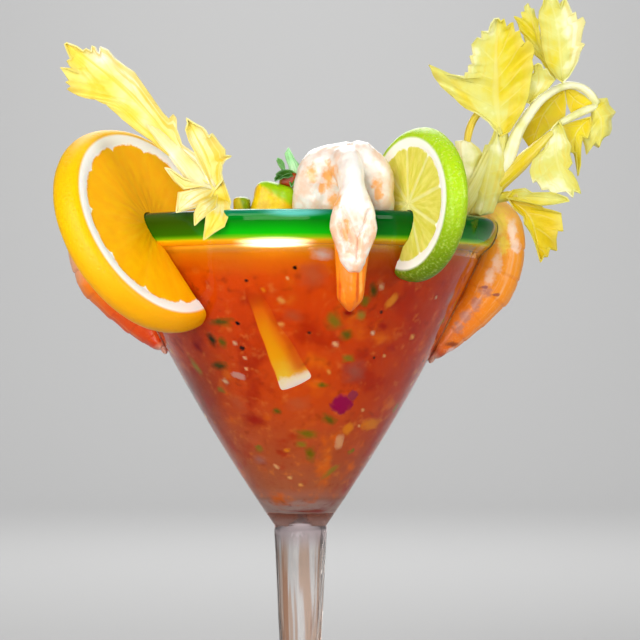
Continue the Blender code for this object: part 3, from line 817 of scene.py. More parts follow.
@dataclass(frozen=True)
class Fleck:
    """One bit against the glass, as seen from the front: its middle, size, turn and tone."""

    x: float
    z: float
    width: float
    height: float
    turn: float = 0.0
    tone: float = 0.5


@dataclass(frozen=True)
class Kind:
    """One kind of bit: the flecks that the front shows, as rows, and a scatter of more."""

    name: str
    tones: Sequence[tuple]
    soft: float
    shown: Sequence[Sequence[float]]
    spread: int
    on_top: int
    width: tuple[float, float]
    height: tuple[float, float]
    thick: float
    ragged: float
    seed: int
    sides: int = 12
    rings: int = 8


PEPPER = Kind(
    "pepper_specks", ((14, 12, 12), (90, 40, 24)), 0.4,
    (
        (-1.2, 161.1, 2.1, 2.2, 0, 0), (-10.4, 148.5, 2.3, 2.3, 0, 0),
        (-18.5, 144.6, 2.3, 2.2, 0, 0.1), (-17.2, 137, 3, 3, 20, 0.2),
        (-15.7, 157.4, 1.8, 1.8, 0, 1), (3, 141.6, 1.8, 1.8, 0, 0.9),
        (22.5, 134, 1.7, 1.6, 0, 0.8), (24.6, 148, 2, 2, 0, 0.9),
    ),
    46, 26, (0.9, 1.7), (0.9, 1.7), 0.35, 0.30, 3, 8, 6,
)
SEEDS = Kind(
    "tomato_seeds", ((255, 150, 20), (255, 186, 90), (255, 216, 170)), 0.15,
    (
        (-10.6, 154.5, 2.4, 3.2, 10, 0), (-5.3, 151.4, 4, 4.6, 25, 0.35),
        (-3.4, 158, 2, 2.4, 0, 0.6), (-5.5, 144.2, 3.8, 3.6, 50, 0.4),
        (-16.4, 133.9, 2.4, 2.2, 0, 0.8), (-16.1, 130.6, 2, 2.2, 0, 0.7),
        (-19.4, 138.5, 2.8, 2.8, 0, 0.9), (-7.1, 99.5, 3.6, 2.4, -35, 0.7),
        (-3, 95.9, 2.7, 2.3, 0, 0.6), (-4, 104.8, 3.6, 2.7, 5, 0.05), (22, 141.6, 2.9, 2.9, 0, 1),
        (10.7, 138.2, 3.8, 3.6, 0, 0.8), (19.1, 117.6, 2.7, 2.5, 0, 0.6),
        (8.9, 129.6, 2.4, 3.6, 10, 0.3), (-22.4, 126.6, 3.2, 4.2, 30, 0.9),
        (34.2, 140.6, 4, 3.6, 0, 0.5), (0.3, 93.6, 2.5, 2.2, 0, 0.5),
        (41.5, 153, 2.6, 2.6, 0, 0.9), (24.6, 155.6, 3.6, 4.2, 10, 0.8),
        (-18.8, 120.6, 2.6, 3.4, 20, 0.5), (25.6, 134.6, 2.4, 2.2, 0, 0.6),
        (17.9, 112.6, 2.2, 2, 0, 0.6),
    ),
    90, 40, (1.4, 2.6), (1.6, 3), 0.4, 0.18, 5, 10, 6,
)
HERBS = Kind(
    "herb_flecks", ((50, 50, 8), (84, 84, 10), (140, 124, 10), (190, 156, 50)),
    0.1,
    (
        (14.2, 141, 6.8, 6.8, 20, 0.55), (22, 154.4, 5.6, 9.8, 0, 0.4),
        (18.5, 147, 5.6, 6.3, 0, 1), (10.4, 145.2, 8.5, 11.5, 20, 0.75),
        (-23.6, 145, 13.4, 5.1, 2, 0.45), (-26.4, 139.6, 6.6, 8.1, 0, 0),
        (-23.4, 138.8, 5.4, 6.3, 0, 0.6), (-24.4, 131.5, 11, 5.6, 2, 0.3),
        (2.4, 110, 11, 6.1, 4, 0.7), (9, 114.5, 8.5, 5.4, -25, 0.55),
        (3.2, 103.6, 5.4, 9, 10, 0.6), (16, 104.6, 6.6, 3.9, 25, 0.7),
        (9.4, 98, 4.1, 12, -38, 0.9), (-31.6, 131.4, 4.9, 12.2, 25, 0.9),
        (6.8, 125.4, 6.1, 3.4, 0, 0.6), (29, 118.2, 4.9, 5.9, -20, 0.9),
        (19.6, 151.4, 5.6, 6.8, -20, 0.7), (0.4, 106.8, 5.9, 4.4, 0, 0.85),
        (-6.8, 117.4, 4.4, 4.1, 0, 0.5), (-12.4, 105.6, 4.9, 5.4, 0, 0.8),
        (14.6, 133.8, 6.8, 5.1, 10, 0.8), (-24, 124, 5.4, 3.9, 0, 0.8),
    ),
    44, 34, (2.4, 5.4), (2.4, 6), 0.45, 0.38, 7,
)
ONION = Kind(
    "red_onion", ((176, 0, 84), (180, 60, 80), (236, 170, 150)), 0.5,
    (
        (12.8, 119.4, 10.2, 9.2, -34, 0), (16, 122.2, 5, 5.4, -30, 0.45),
        (-18.4, 128.4, 7, 3.6, -20, 1),
    ),
    12, 12, (2.6, 5), (2.4, 4.8), 0.6, 0.12, 11,
)
TOMATO_BITS = Kind(
    "tomato_bits", ((170, 14, 2), (206, 50, 10), (230, 108, 54)), 0.1,
    (
        (-31, 137.6, 6.4, 7, 0, 0.05), (14.6, 147.6, 6.4, 5.8, 30, 0),
        (-13.6, 114.4, 14, 9.4, 0, 0.35), (4.2, 159, 13.6, 14.4, 3, 1),
        (-1.8, 146.8, 10, 7.6, -8, 0.85), (25, 143.8, 8, 7, 20, 0.3), (28, 137, 7.4, 7, 20, 0.5),
        (-0.4, 119.6, 13, 9.4, 10, 0.95), (-18.6, 119.8, 9, 11, 0, 0.9), (16.8, 105, 9, 9, 0, 0.9),
        (-13.4, 107.6, 9, 8, 0, 0.95),
    ),
    30, 26, (4, 9), (4, 8.4), 0.45, 0.16, 13,
)
PULP = Kind(
    "orange_pulp_bits", ((255, 150, 6), (255, 170, 60), (250, 190, 140)), 0.35,
    (
        (27.7, 151.4, 4.6, 8.6, -32, 0.2), (14.6, 111.6, 6, 6.6, -40, 0.1),
        (12, 107.6, 4.6, 8.4, 6, 0.9), (21.6, 113, 13, 7.4, 0, 0),
    ),
    14, 10, (2, 4), (3, 6), 0.45, 0.25, 17,
)
HAZE = Kind(
    "onion_haze", ((186, 84, 60), (206, 130, 110), (255, 226, 214)), 0.0,
    (
        # the pale fleck at 7, 165 under the lip stands for a painted highlight
        (16.6, 129.8, 13, 14.6, 10, 0.1), (7, 165, 10, 7, 0, 1), (-12, 101.6, 8, 6, 0, 0.4),
        (18.4, 98.4, 6, 8, 30, 0.3),
    ),
    8, 0, (6, 12), (6, 12), 0.3, 0.12, 19,
)


@dataclass
class Sauce:
    """The cocktail in the bowl, with what is in it."""

    level: float = 167.0
    relief: float = 0.9
    brim: float = 1.7
    lump_size: float = 9.0
    steps: int = 128
    surface_rings: int = 40
    spread_low: float = 96.0
    spread_height: float = 68.0
    spread_angles: tuple[float, float] = (-22.0, 202.0)
    spread_radius: float = 52.0
    keep_off: Sequence[tuple[float, float, float]] = (
        (-40, -32, 22), (-8, -35, 9), (-24, -45, 7), (14, -47, 15),
        (33, -42, 9), (44, -14, 8), (52, 5, 9), (-52, 2, 9),
    )

    def surface(self, x: float, y: float) -> float:
        """Height of the lumpy surface."""
        far = math.hypot(x, y)
        calm = 1.0 - smooth(48.0, 55.0, far)
        coarse = self.relief * lump(Vector((x, y, self.level)), self.lump_size)
        fine = 0.35 * lump(Vector((x, y, 0.0)), 2.6, 4.0)
        return self.level + (coarse + fine - 0.25) * calm + self.brim * smooth(54.6, 56.6, far)

    def body(self) -> None:
        """The sauce itself, reaching just into the wall."""
        edge = BOWL.inner(self.level) + BOWL.reach
        count = self.surface_rings
        top = [(edge * i / count, self.level) for i in range(count + 1)]
        turn_z = BOWL.well_z + BOWL.well_turn
        heights = BOWL.heights(self.level, turn_z, 40)[1:]
        side = [(BOWL.inner(z) + BOWL.reach, z) for z in heights]
        profile = top + side + list(reversed(BOWL.well(10, BOWL.reach)))
        body = BENCH.turned("sauce", profile, self.steps)

        def rule(point: Vector) -> Vector:
            """Lifts the points of the surface."""
            if point.z > self.level - 0.1:
                point.z = self.surface(point.x, point.y)
            return point

        BENCH.shift(body, rule)
        BENCH.finish(body, "cocktail_sauce", ["cocktail"], [sauce_paint()])

    def bit(self, kind: Kind, number: int, fleck: Fleck, where: Callable) -> Piece:
        """Models one bit.

        Args:
            kind: What it is.
            number: Its number, which seeds its shape.
            fleck: Its size, turn and tone.
            where: Gives the place of a point from its offsets across, up and inwards.

        Returns:
            The bit.
        """
        turn = math.radians(fleck.turn)
        seed = kind.seed + 0.37 * number

        def rule(unit: Vector) -> Marked:
            """A flat, squarish, ragged bit."""
            reach = math.hypot(unit.x, unit.z)
            square = reach / max(abs(unit.x), abs(unit.z), 0.001) if reach > 0.01 else 1.0
            rough = 1.0 + kind.ragged * (lump(unit, 0.7, seed) + 0.6 * lump(unit, 0.3, seed))
            rough *= 1.0 + 0.6 * (square - 1.0)
            across, up = unit.x * fleck.width / 2 * rough, unit.z * fleck.height / 2 * rough
            side = across * math.cos(turn) - up * math.sin(turn)
            rise = across * math.sin(turn) + up * math.cos(turn)
            return where(side, rise, unit.y * kind.thick), {"tone": fleck.tone, "edge": reach}

        return BENCH.ball(kind.name, kind.sides, kind.rings, rule)

    def scatter(self, kind: Kind) -> None:
        """Models all bits of one kind as one piece."""
        draw = random.Random(kind.seed)
        pieces = []

        def sized() -> tuple[float, float, float, float]:
            """A drawn width, height, turn and tone."""
            return (
                draw.uniform(*kind.width), draw.uniform(*kind.height),
                draw.uniform(-90.0, 90.0), draw.random(),
            )

        def on_wall(angle: float, z: float) -> Callable:
            """Places offsets on the inside of the wall."""
            radius = BOWL.inner(z)
            return lambda side, rise, depth: BOWL.against(
                angle + side / radius, z + rise * 0.85, depth + kind.thick * 0.55
            )

        for number, row in enumerate(kind.shown):
            fleck = Fleck(*row)
            where = on_wall(BOWL.front_angle(fleck.x, fleck.z), fleck.z)
            pieces.append(self.bit(kind, number, fleck, where))
        for number in range(kind.spread):
            z = self.spread_low + self.spread_height * math.sqrt(draw.random())
            angle = math.radians(draw.uniform(*self.spread_angles))
            fleck = Fleck(0.0, z, *sized())
            pieces.append(self.bit(kind, 100 + number, fleck, on_wall(angle, z)))
        number = 0
        while number < kind.on_top:
            radius = self.spread_radius * math.sqrt(draw.random())
            angle = draw.uniform(0.0, math.tau)
            x, y = radius * math.cos(angle), radius * math.sin(angle)
            size = sized()
            if any(math.hypot(x - a, y - b) < keep for a, b, keep in self.keep_off):
                continue
            number += 1
            sink = 0.25 * kind.thick

            def on_surface(side: float, rise: float, depth: float) -> Vector:
                """Places offsets on the surface."""
                level = self.surface(x + side, y + rise)
                return Vector((x + side, y + rise, level + depth - sink))

            pieces.append(self.bit(kind, 500 + number, Fleck(x, 0.0, *size), on_surface))
        whole = BENCH.joined(kind.name, pieces)
        paint = bit_paint(kind.name, kind.tones, kind.soft)
        BENCH.finish(whole, "cocktail_sauce", [], [paint])

    def wedge(self) -> None:
        """The long pale-ended wedge that lies against the front of the glass, with a painted glow.
        """
        foot = (Vector((-5.6, 123.2, 0.0)), Vector((4.4, 127.6, 0.0)))
        head = (Vector((-16.6, 155.6, 0.0)), Vector((-13.2, 156.6, 0.0)))

        def rule(unit: Vector) -> Marked:
            """A flat strip with square ends, bent along the wall."""
            t = (unit.z + 1.0) / 2
            round_off = max(1.0 - abs(unit.z) ** 40, 0.0) ** 0.5
            spread = max(math.hypot(unit.x, unit.y), 0.001)
            shape = min(1.0, spread * 4.0) * round_off
            across = unit.x / spread * shape
            left, right = foot[0].lerp(head[0], t), foot[1].lerp(head[1], t)
            place = left.lerp(right, (across + 1) / 2)
            rough = 0.5 * lump(Vector((across, t * 4, 0.0)), 1.0, 3.0)
            x, z = place.x + rough, place.y + rough
            depth = 0.15 + 0.6 * unit.y / spread * shape
            return BOWL.against(BOWL.front_angle(x, z), z, depth), {"tone": t, "edge": across}

        obj = BENCH.ball("sunk_wedge", 40, 48, rule)
        # a faint painted glow of the wedge's own colours
        painter = Painter(
            "sunk_wedge", Roughness=0.6, Specular_IOR_Level=0.0, Emission_Strength=0.16
        )
        t, across = painter.mark("tone"), painter.mark("edge")
        streak = (painter.noise(painter.place(), 2.2 * MM) - 0.5) * 0.10
        core = painter.ramp(t + streak, (
            (0.0, (255, 250, 236)), (0.08, (255, 240, 200)), (0.12, (255, 214, 60)),
            (0.3, (255, 178, 4)), (0.7, (255, 146, 2)), (1.0, (250, 100, 2)),
        ))
        away = across.step(-0.4, 0.8) * t.step(0.05, 0.16) * 0.85
        sides = abs(across).step(0.86, 1.0) * t.step(0.1, 0.2)
        away = away.either(t.step(0.55, 1.0)).either(sides)
        painter.feed("Base Color", painter.mix(away, core, sauce_colours(painter)))
        painter.feed("Emission Color", painter.mix(away, core, BLACK))
        BENCH.finish(obj, "cocktail_sauce", [], [painter.material])

    def build(self) -> None:
        """Models the sauce and all that is in it."""
        self.body()
        self.wedge()
        for kind in (HAZE, PEPPER, SEEDS, HERBS, ONION, TOMATO_BITS, PULP):
            self.scatter(kind)


# ---- the citrus
@dataclass(frozen=True)
class CitrusPaint:
    """The finish of a cut citrus wheel."""

    name: str
    rind: tuple
    rind_painted_shade: tuple
    speck: tuple
    pith: tuple
    pulp: tuple
    pulp_deep: tuple
    membrane: tuple
    membrane_shows: float
    pore_size: float
    pore_depth: float
    rind_roughness: float

    def material(self, wheel: CitrusWheel) -> Material:
        """The material on one wheel."""
        painter = Painter(
            self.name, Subsurface_Weight=0.15, Subsurface_Scale=0.0015, Specular_IOR_Level=0.2,
        )
        place = painter.place()
        local = painter.turned(place, wheel.middle * MM, wheel.turn)
        x, y, z = painter.split(local)
        radius = (x * x + y * y) ** 0.5 / MM
        angle = y.angle_to(x)
        spoke = abs((angle * (wheel.segments / 2) + wheel.phase).sine())
        ragged = painter.noise(local, 3.2 * MM, 3.0, 0.6) - 0.5
        pulp_edge = radius + (1 - spoke) ** 4 * wheel.scallop + ragged * 2.2
        pith_mask = pulp_edge.step(wheel.pulp_radius - 0.35, wheel.pulp_radius + 0.35)
        core = radius.step(wheel.core_radius + 0.8, wheel.core_radius - 0.6)
        line = (radius * spoke * (2 / wheel.segments) + ragged * 0.5).step(0.75, 0.3)
        line = line.either(core) * self.membrane_shows
        streaks = painter.noise(painter.join(angle * 7.0, radius * 0.16), 1.0, 3.0, 0.6)
        flesh = painter.mix(streaks.step(0.3, 0.75), self.pulp_deep, self.pulp)
        flesh = painter.mix(line, flesh, self.membrane)
        speck = painter.noise(place, 0.9 * MM, 1.0)
        cut = painter.mix(pith_mask, flesh, self.pith)
        low, high = wheel.centre[2] - wheel.radius, wheel.centre[2] + wheel.radius * 0.2
        # painted shade: the rind darkens towards the wheel's bottom
        skin = painter.mix(painter.axes()[2].step(low, high), self.rind_painted_shade, self.rind)
        skin = painter.mix(speck.step(0.48, 0.75) * 0.3, skin, self.speck)
        blend = radius.step(wheel.face_radius - 0.1, wheel.face_radius + 0.9)
        on_back = (z / MM).step(-wheel.thick / 2 + 0.5, -wheel.thick / 2 + 0.2)
        on_back = on_back * radius.step(wheel.face_radius + 1.2, wheel.face_radius + 0.2)
        rind_mask = blend * (1 - on_back)
        painter.feed("Base Color", painter.mix(rind_mask, cut, skin))
        painter.feed("Roughness", 0.42 - rind_mask * (0.42 - self.rind_roughness))
        pores = painter.cells(local, self.pore_size * MM).step(0.0, 0.45) * rind_mask
        pulp_relief = streaks * (1 - rind_mask) * (1 - pith_mask) * 0.8
        painter.raise_by(pores + pulp_relief, self.pore_depth, 0.7)
        return painter.material


@dataclass
class CitrusWheel:
    """A citrus slice hung on the rim by its slot."""

    name: str
    node: str
    slot: str
    centre: tuple[float, float, float]
    azimuth: float
    elevation: float
    radius: float
    thick: float
    face_radius: float
    pith: float
    segments: int
    phase: float
    scallop: float
    core_radius: float
    paint: CitrusPaint
    dimple: float

    @property
    def middle(self) -> Vector:
        """The wheel's middle."""
        return Vector(self.centre)

    @property
    def pulp_radius(self) -> float:
        """Where the pulp ends and the pith begins."""
        return self.face_radius - self.pith

    @property
    def turn(self) -> Matrix:
        """The turn that makes the shown face look its way."""
        azimuth, elevation = math.radians(self.azimuth), math.radians(self.elevation)
        facing = Vector((
            math.cos(elevation) * math.cos(azimuth),
            math.cos(elevation) * math.sin(azimuth),
            math.sin(elevation),
        ))
        return UP.rotation_difference(facing).to_matrix()

    def profile(self) -> list[tuple[float, float]]:
        """Half section, from the shown face's middle round to the back's."""
        front, back = self.thick / 2, -self.thick / 2
        rind = self.radius - self.face_radius
        widest = front - 0.6 * self.thick
        face = [(self.pulp_radius * i / 30, front - 0.4) for i in range(31)]
        corner = (
            (self.face_radius, front), (self.face_radius + 0.45 * rind, front - 0.05 * self.thick),
            (self.face_radius + 0.8 * rind, front - 0.26 * self.thick), (self.radius, widest),
            (self.radius - 0.25 * rind, back + 0.1 * self.thick),
            (self.face_radius + 0.1 * rind, back),
        )
        skin = [along(corner, i / 23) for i in range(24)]
        end = self.face_radius + 0.1 * rind
        rear = [(end * (1 - i / 24), back) for i in range(1, 25)]
        return face + [(self.pulp_radius + 0.5, front - 0.05)] + skin + rear

    def build(self, room: Piece) -> None:
        """Models the wheel and cuts its slot."""
        obj = BENCH.turned(self.name, self.profile(), 144)
        face_z = self.thick / 2 - 0.4

        def rule(point: Vector) -> Vector:
            """Raises the pulp between the membranes, and dimples the rind."""
            flat = math.hypot(point.x, point.y)
            angle = math.atan2(point.y, point.x)
            spoke = abs(math.sin(angle * self.segments / 2 + self.phase))
            if abs(point.z) > face_z - 0.05 and flat < self.pulp_radius:
                swell = 0.06 * (1 - (1 - spoke) ** 3) * smooth(0.0, 5.0, flat)
                vesicle = 0.12 * lump(Vector((angle * 9, flat * 0.3, 0)), 1.0, 2.0)
                inside = smooth(self.pulp_radius, self.pulp_radius - 2, flat)
                point.z += math.copysign(1.0, point.z) * (swell + vesicle) * inside
            if flat > self.face_radius + 0.4:
                dent = self.dimple * noise.noise(point / 1.3) + 0.25 * lump(point, 9.0, 3.0)
                point *= 1.0 + min(dent, 0.02) / self.radius
            return point

        BENCH.shift(obj, rule)
        obj.data.transform(Matrix.Translation(self.middle * MM) @ self.turn.to_4x4())
        obj = BENCH.trim(obj, room)
        BENCH.finish(obj, self.slot, [self.node], [self.paint.material(self)], 40.0)


ORANGE = CitrusWheel(
    name="orange_slice", node="orange_wheel", slot="orange",
    centre=(-47.9, -38.3, 173.1), azimuth=-37.6, elevation=24.5, radius=34.3, thick=9.6,
    face_radius=30.0, pith=2.9, segments=11, phase=0.4, scallop=1.2, core_radius=1.0,
    paint=CitrusPaint(
        "orange_slice", rind=(255, 198, 0), rind_painted_shade=(255, 172, 0),
        speck=(255, 182, 0), pith=(255, 255, 246), pulp=(255, 190, 0),
        pulp_deep=(255, 178, 0), membrane=(255, 206, 60), membrane_shows=0.06,
        pore_size=1.7, pore_depth=0.1, rind_roughness=0.42,
    ),
    dimple=0.08,
)
LIME = CitrusWheel(
    name="lime_slice", node="lime_wheel", slot="lime",
    centre=(35.5, -49.7, 180.0), azimuth=212.5, elevation=2.6, radius=23.5, thick=7.0,
    face_radius=19.7, pith=2.4, segments=9, phase=0.2, scallop=1.0, core_radius=1.6,
    paint=CitrusPaint(
        "lime_slice", rind=(176, 216, 24), rind_painted_shade=(104, 134, 2),
        speck=(226, 242, 130), pith=(255, 255, 240), pulp=(234, 226, 114),
        pulp_deep=(214, 208, 70), membrane=(240, 240, 190), membrane_shows=0.4,
        pore_size=1.0, pore_depth=0.2, rind_roughness=0.34,
    ),
    dimple=0.2,
)


# ---- the shrimp
class Side(Enum):
    """The two side shrimp."""

    LEFT = "left"
    RIGHT = "right"


def shrimp_paint(
    name: str, stops: Sequence[tuple], streak: tuple, patches: Sequence[tuple] = ()
) -> Material:
    """Cooked shrimp: coloured along the body, with pale streaks that are partly painted
    highlights, and dark segment edges.

    Args:
        name: The material's name.
        stops: Colours along the body, from the head end to the tail.
        streak: Colour of the pale streaks, partly painted highlights.
        patches: Soft spots of the shown side, each a colour and its places and reaches.

    Returns:
        The material.
    """
    painter = Painter(
        name, Subsurface_Weight=0.12, Subsurface_Scale=0.002, Subsurface_Radius=(1.0, 0.4, 0.2),
        Roughness=0.36, Coat_Weight=0.15, Coat_Roughness=0.14, Specular_IOR_Level=0.25,
    )
    body, around = painter.mark("body"), painter.mark("around")
    place = painter.place()
    wobble = painter.noise(place, 5.0 * MM) - 0.5
    base = painter.ramp(body + wobble * 0.06, stops)
    lines = painter.join(body * 3.0, around * 9.0)
    # pale streaks, partly the shell's own and partly painted highlights
    pale = painter.noise(lines, 1.0, 3.0, 0.6).step(0.52, 0.72)
    coloured = painter.mix(pale * 0.75, base, streak)
    deep = painter.mix(0.5, base, (206, 66, 10))
    coloured = painter.mix(painter.mark("seam") * 0.3, coloured, deep)
    rough = painter.noise(place, 2.2 * MM, 3.0, 0.6) - 0.5
    for colour, *spots in patches:
        coloured = painter.mix(painter.spot(rough * 1.8, *spots) * 0.8, coloured, colour)
    fine = painter.noise(place, 0.8 * MM)
    painter.feed("Base Color", painter.mix(fine.step(0.5, 0.75) * 0.2, coloured, streak))
    painter.raise_by(painter.noise(lines, 0.25, 3.0), 0.25, 0.5)
    return painter.material


@dataclass
class ShrimpBody:
    """A shrimp's body through stations in the upright plane at an azimuth.

    Stations give the distance from the axis, height, half thickness and half width.
    """

    name: str
    azimuth: float
    stations: Sequence[Station]
    lift: float = 0.0
    plump: float = 1.0
    segments: int = 6
    step: float = 0.055
    shell_from: float = 0.30
    shell_to: float = 0.84
    ridge: float = 0.03
    facets: float = 1.0
    sides: int = 72
    rings: int = 200
    seed: float = 1.0

    def frame_at(self, t: float) -> tuple[Vector, Vector, Vector, float, float]:
        """Middle, sideways, outwards, half width and half thickness at t."""
        around = math.radians(self.azimuth)
        outwards = Vector((math.cos(around), math.sin(around), 0.0))
        across = UP.cross(outwards)
        lift = self.lift * BOWL.rim_flare
        points = []
        for u in (t - 0.004, t, t + 0.004):
            reach, height = along(self.stations, u)[:2]
            points.append(outwards * (reach + lift) + UP * (height + self.lift))
        tangent = (points[2] - points[0]).normalized()
        depth, width = along(self.stations, t)[2:4]
        return points[1], across, tangent.cross(across), width * self.plump, depth * self.plump

    def swell(self, t: float) -> tuple[float, float]:
        """How far the shell's segments stand out at t, and how near a segment's edge it is."""
        if not self.shell_from < t < self.shell_to:
            return 0.0, 0.0
        place = (t - self.shell_from) / (self.shell_to - self.shell_from) * self.segments
        within = place % 1.0
        fall = smooth(1.0, 0.93, within)
        return self.step * ((0.35 + 0.65 * within) * fall - 0.35), smooth(0.86, 0.97, within)

    def model(self) -> Piece:
        """Moulds the body from a ball."""
        rows: dict[int, tuple] = {}

        def rule(unit: Vector) -> Marked:
            """A ringed, ridged and slightly bumpy body, with its shares along and around."""
            t, around = on_ball(unit)
            key = round(t * 10000)
            if key not in rows:
                rows[key] = (self.frame_at(t), self.swell(t))
            (centre, side, out, width, depth), (swell, seam) = rows[key]
            close = rounded(t, 0.05, 0.03)
            back = 0.5 + 0.5 * math.sin(around)
            rise = 1.0 + swell * (0.35 + 0.65 * back)
            ridge = self.ridge * math.exp(-(((around - math.pi / 2) / 0.25) ** 2))
            cosine, sine = math.cos(around), math.sin(around)
            cosine = math.copysign(abs(cosine) ** self.facets, cosine)
            place = side * width * cosine + out * depth * sine * (1 + ridge)
            point = centre + place * rise * close
            bump = 0.18 * lump(point, 3.5, self.seed) + 0.08 * lump(point, 1.2, self.seed)
            way = place.normalized() if place.length > 0 else out
            return point + way * bump * close, {
                "body": t,
                "around": abs(around - math.pi / 2) / math.pi,
                "seam": seam * (0.4 + 0.6 * back),
            }

        return BENCH.ball(self.name, self.sides, self.rings, rule)

    def fan(self, blades: Sequence[tuple[float, float, float]]) -> list[Piece]:
        """The tail fan.

        Args:
            blades: Lean, length and half width of each blade.

        Returns:
            The blades.
        """
        centre, side, out, _, _ = self.frame_at(0.90)
        ahead = side.cross(out).normalized()

        def blade(lean: float, length: float, half: float) -> Piece:
            """Moulds one blade.

            Args:
                lean: Its sideways lean in degrees.
                length: Its length.
                half: Half its width.

            Returns:
                The blade.
            """
            turn = math.radians(lean)
            axis = ahead * math.cos(turn) + side * math.sin(turn)
            wide = side * math.cos(turn) - ahead * math.sin(turn)

            def rule(unit: Vector) -> Marked:
                """A thin drop shape with a rib along its middle."""
                t = (unit.z + 1) / 2
                shape = math.sin(math.pi * min(t, 0.999) ** 1.8) ** 0.45 if t > 0 else 0.0
                rib = 0.12 * math.exp(-(unit.x / 0.18) ** 2)
                spread = max(math.hypot(unit.x, unit.y), 0.01)
                across = unit.x / spread * half * shape
                thick = unit.y / spread * (0.8 + rib) * shape
                lift = 0.6 * abs(lean) / 32.0
                point = centre + axis * length * t + wide * across + out * (thick - lift)
                return point, {
                    "body": 0.9 + 0.1 * t, "around": abs(across) / half * 0.5, "seam": 0.0
                }

            return BENCH.ball(f"{self.name}_blade", 20, 28, rule)

        return [blade(*sizes) for sizes in blades]


SIDE_STATIONS = (
    (48, 160, 4.5, 4.5), (50.5, 168.5, 6.5, 6.2), (54.5, 177, 7.2, 7), (60.5, 181, 6.6, 7.4),
    (65, 176.5, 7.6, 7.6), (65.6, 170, 8, 7.8), (64.2, 163, 8.2, 7.9), (61.4, 156.7, 8.3, 7.6),
    (57.7, 151, 6.8, 6.9), (52.9, 145.7, 5.9, 6), (48.9, 141.1, 4.9, 5), (46.1, 137.3, 3.4, 4.4),
    (44.7, 135.3, 2.3, 4.4), (43.2, 133.8, 1.2, 3.6),
)
FRONT_STATIONS = (
    (47, 163, 4, 5), (49, 172, 5, 6.4), (52, 182, 6, 6.4), (56.5, 190, 6.5, 5.6),
    (62, 189.8, 6, 4.6), (66.3, 183.5, 5, 4.3), (68, 176.8, 4.2, 6.4), (68.2, 171.8, 4, 7.4),
    (68.2, 167.4, 3.6, 5.8), (68.2, 163.6, 3.2, 4.4), (68.2, 160.4, 2.8, 3), (68.4, 158.4, 2, 1.6),
)
TAIL_STATIONS = (
    (66.6, 171, 2.6, 5.4), (66, 166.4, 2.7, 5.3), (65.6, 161.4, 2.7, 4.8), (65, 156.4, 2.6, 4.4),
    (64.4, 151.6, 2.4, 3.9), (64, 149.4, 1.6, 2.5), (63.6, 147.4, 0.6, 0.5),
)
LEFT_HALF = (
    (4.5, -44, 167, 4.6), (3.9, -47.5, 176, 5.8), (4.1, -50, 183, 6), (6.4, -51, 190.2, 6.6),
    (11.2, -52, 192, 6.3), (17, -54, 192.8, 6.4),
)
RIGHT_HALF = (
    (21.5, -44, 167, 4.2), (23.4, -48, 176, 5), (23.6, -51, 183, 5.4), (22.4, -52.4, 189, 5.6),
    (19, -53.5, 192.4, 6), (15, -54, 193, 6),
)


@dataclass
class SideShrimp:
    """A shrimp hooked over the rim at one side."""

    side: Side
    blades: Sequence[tuple[float, float, float]] = (
        (-13, 4.6, 2.2), (0, 4.9, 2.1), (13, 4.6, 2.2), (-27, 4.2, 1.9), (27, 4.2, 1.9),
    )

    def paint(self) -> Material:
        """The finish of this side's shrimp."""
        if self.side is Side.LEFT:
            stops = (
                (0.0, (250, 226, 200)), (0.35, (250, 206, 176)), (0.46, (248, 180, 136)),
                (0.54, (255, 130, 0)), (0.66, (240, 84, 0)), (0.93, (222, 60, 0)),
                (0.97, (244, 150, 120)), (1.0, (250, 200, 180)),
            )
            return shrimp_paint("shrimp_left", stops, (255, 140, 60))
        stops = (
            (0.0, (250, 222, 190)), (0.28, (255, 196, 90)), (0.36, (255, 164, 40)),
            (0.60, (255, 146, 20)), (0.70, (250, 136, 30)), (0.86, (226, 104, 20)),
            (0.93, (190, 76, 34)), (1.0, (240, 190, 170)),
        )
        patches = (
            ((255, 224, 80), (64.8, 177.0, 3.0, 6.4), (66.2, 170.6, 2.2, 4.4)),
            # painted highlights: the next two rows of pale spots
            ((255, 226, 206), (69.0, 174.6, 1.8, 4.4), (70.2, 170.0, 1.8, 3.0)),
            ((255, 208, 176), (63.8, 164.4, 1.9, 3.6), (61.6, 159.6, 2.2, 3.2)),
            (
                (198, 134, 116), (60.4, 154.8, 2.4, 2.2), (57.0, 151.0, 2.4, 2.6),
                (54, 147, 2.4, 2.8), (51.4, 143.2, 2, 2.6),
            ),
            ((140, 66, 66), (59.6, 156.4, 1.5, 0.6), (63.4, 154.0, 1.7, 0.6)),
            ((130, 46, 20), (49.0, 138.0, 2.4, 0.9)),
            ((250, 210, 200), (50.0, 135.6, 3.4, 1.2)),
        )
        return shrimp_paint("shrimp_right", stops, (255, 190, 130), patches)

    def build(self, room: Piece) -> None:
        """Models body and tail, cut clear of the rim."""
        left = self.side is Side.LEFT
        shrimp = ShrimpBody(
            name=f"shrimp_{self.side.value}_body",
            azimuth=178.0 if left else 5.0,
            stations=SIDE_STATIONS,
            lift=3.0 if left else 0.0,
            plump=1.13 if left else 1.0,
            seed=2.0 if left else 5.0,
        )
        body = BENCH.trim(shrimp.model(), room, folded=True)
        whole = BENCH.joined(shrimp.name, [body] + shrimp.fan(self.blades))
        BENCH.finish(whole, "shrimp", [f"shrimp_{self.side.value}"], [self.paint()], 50.0)


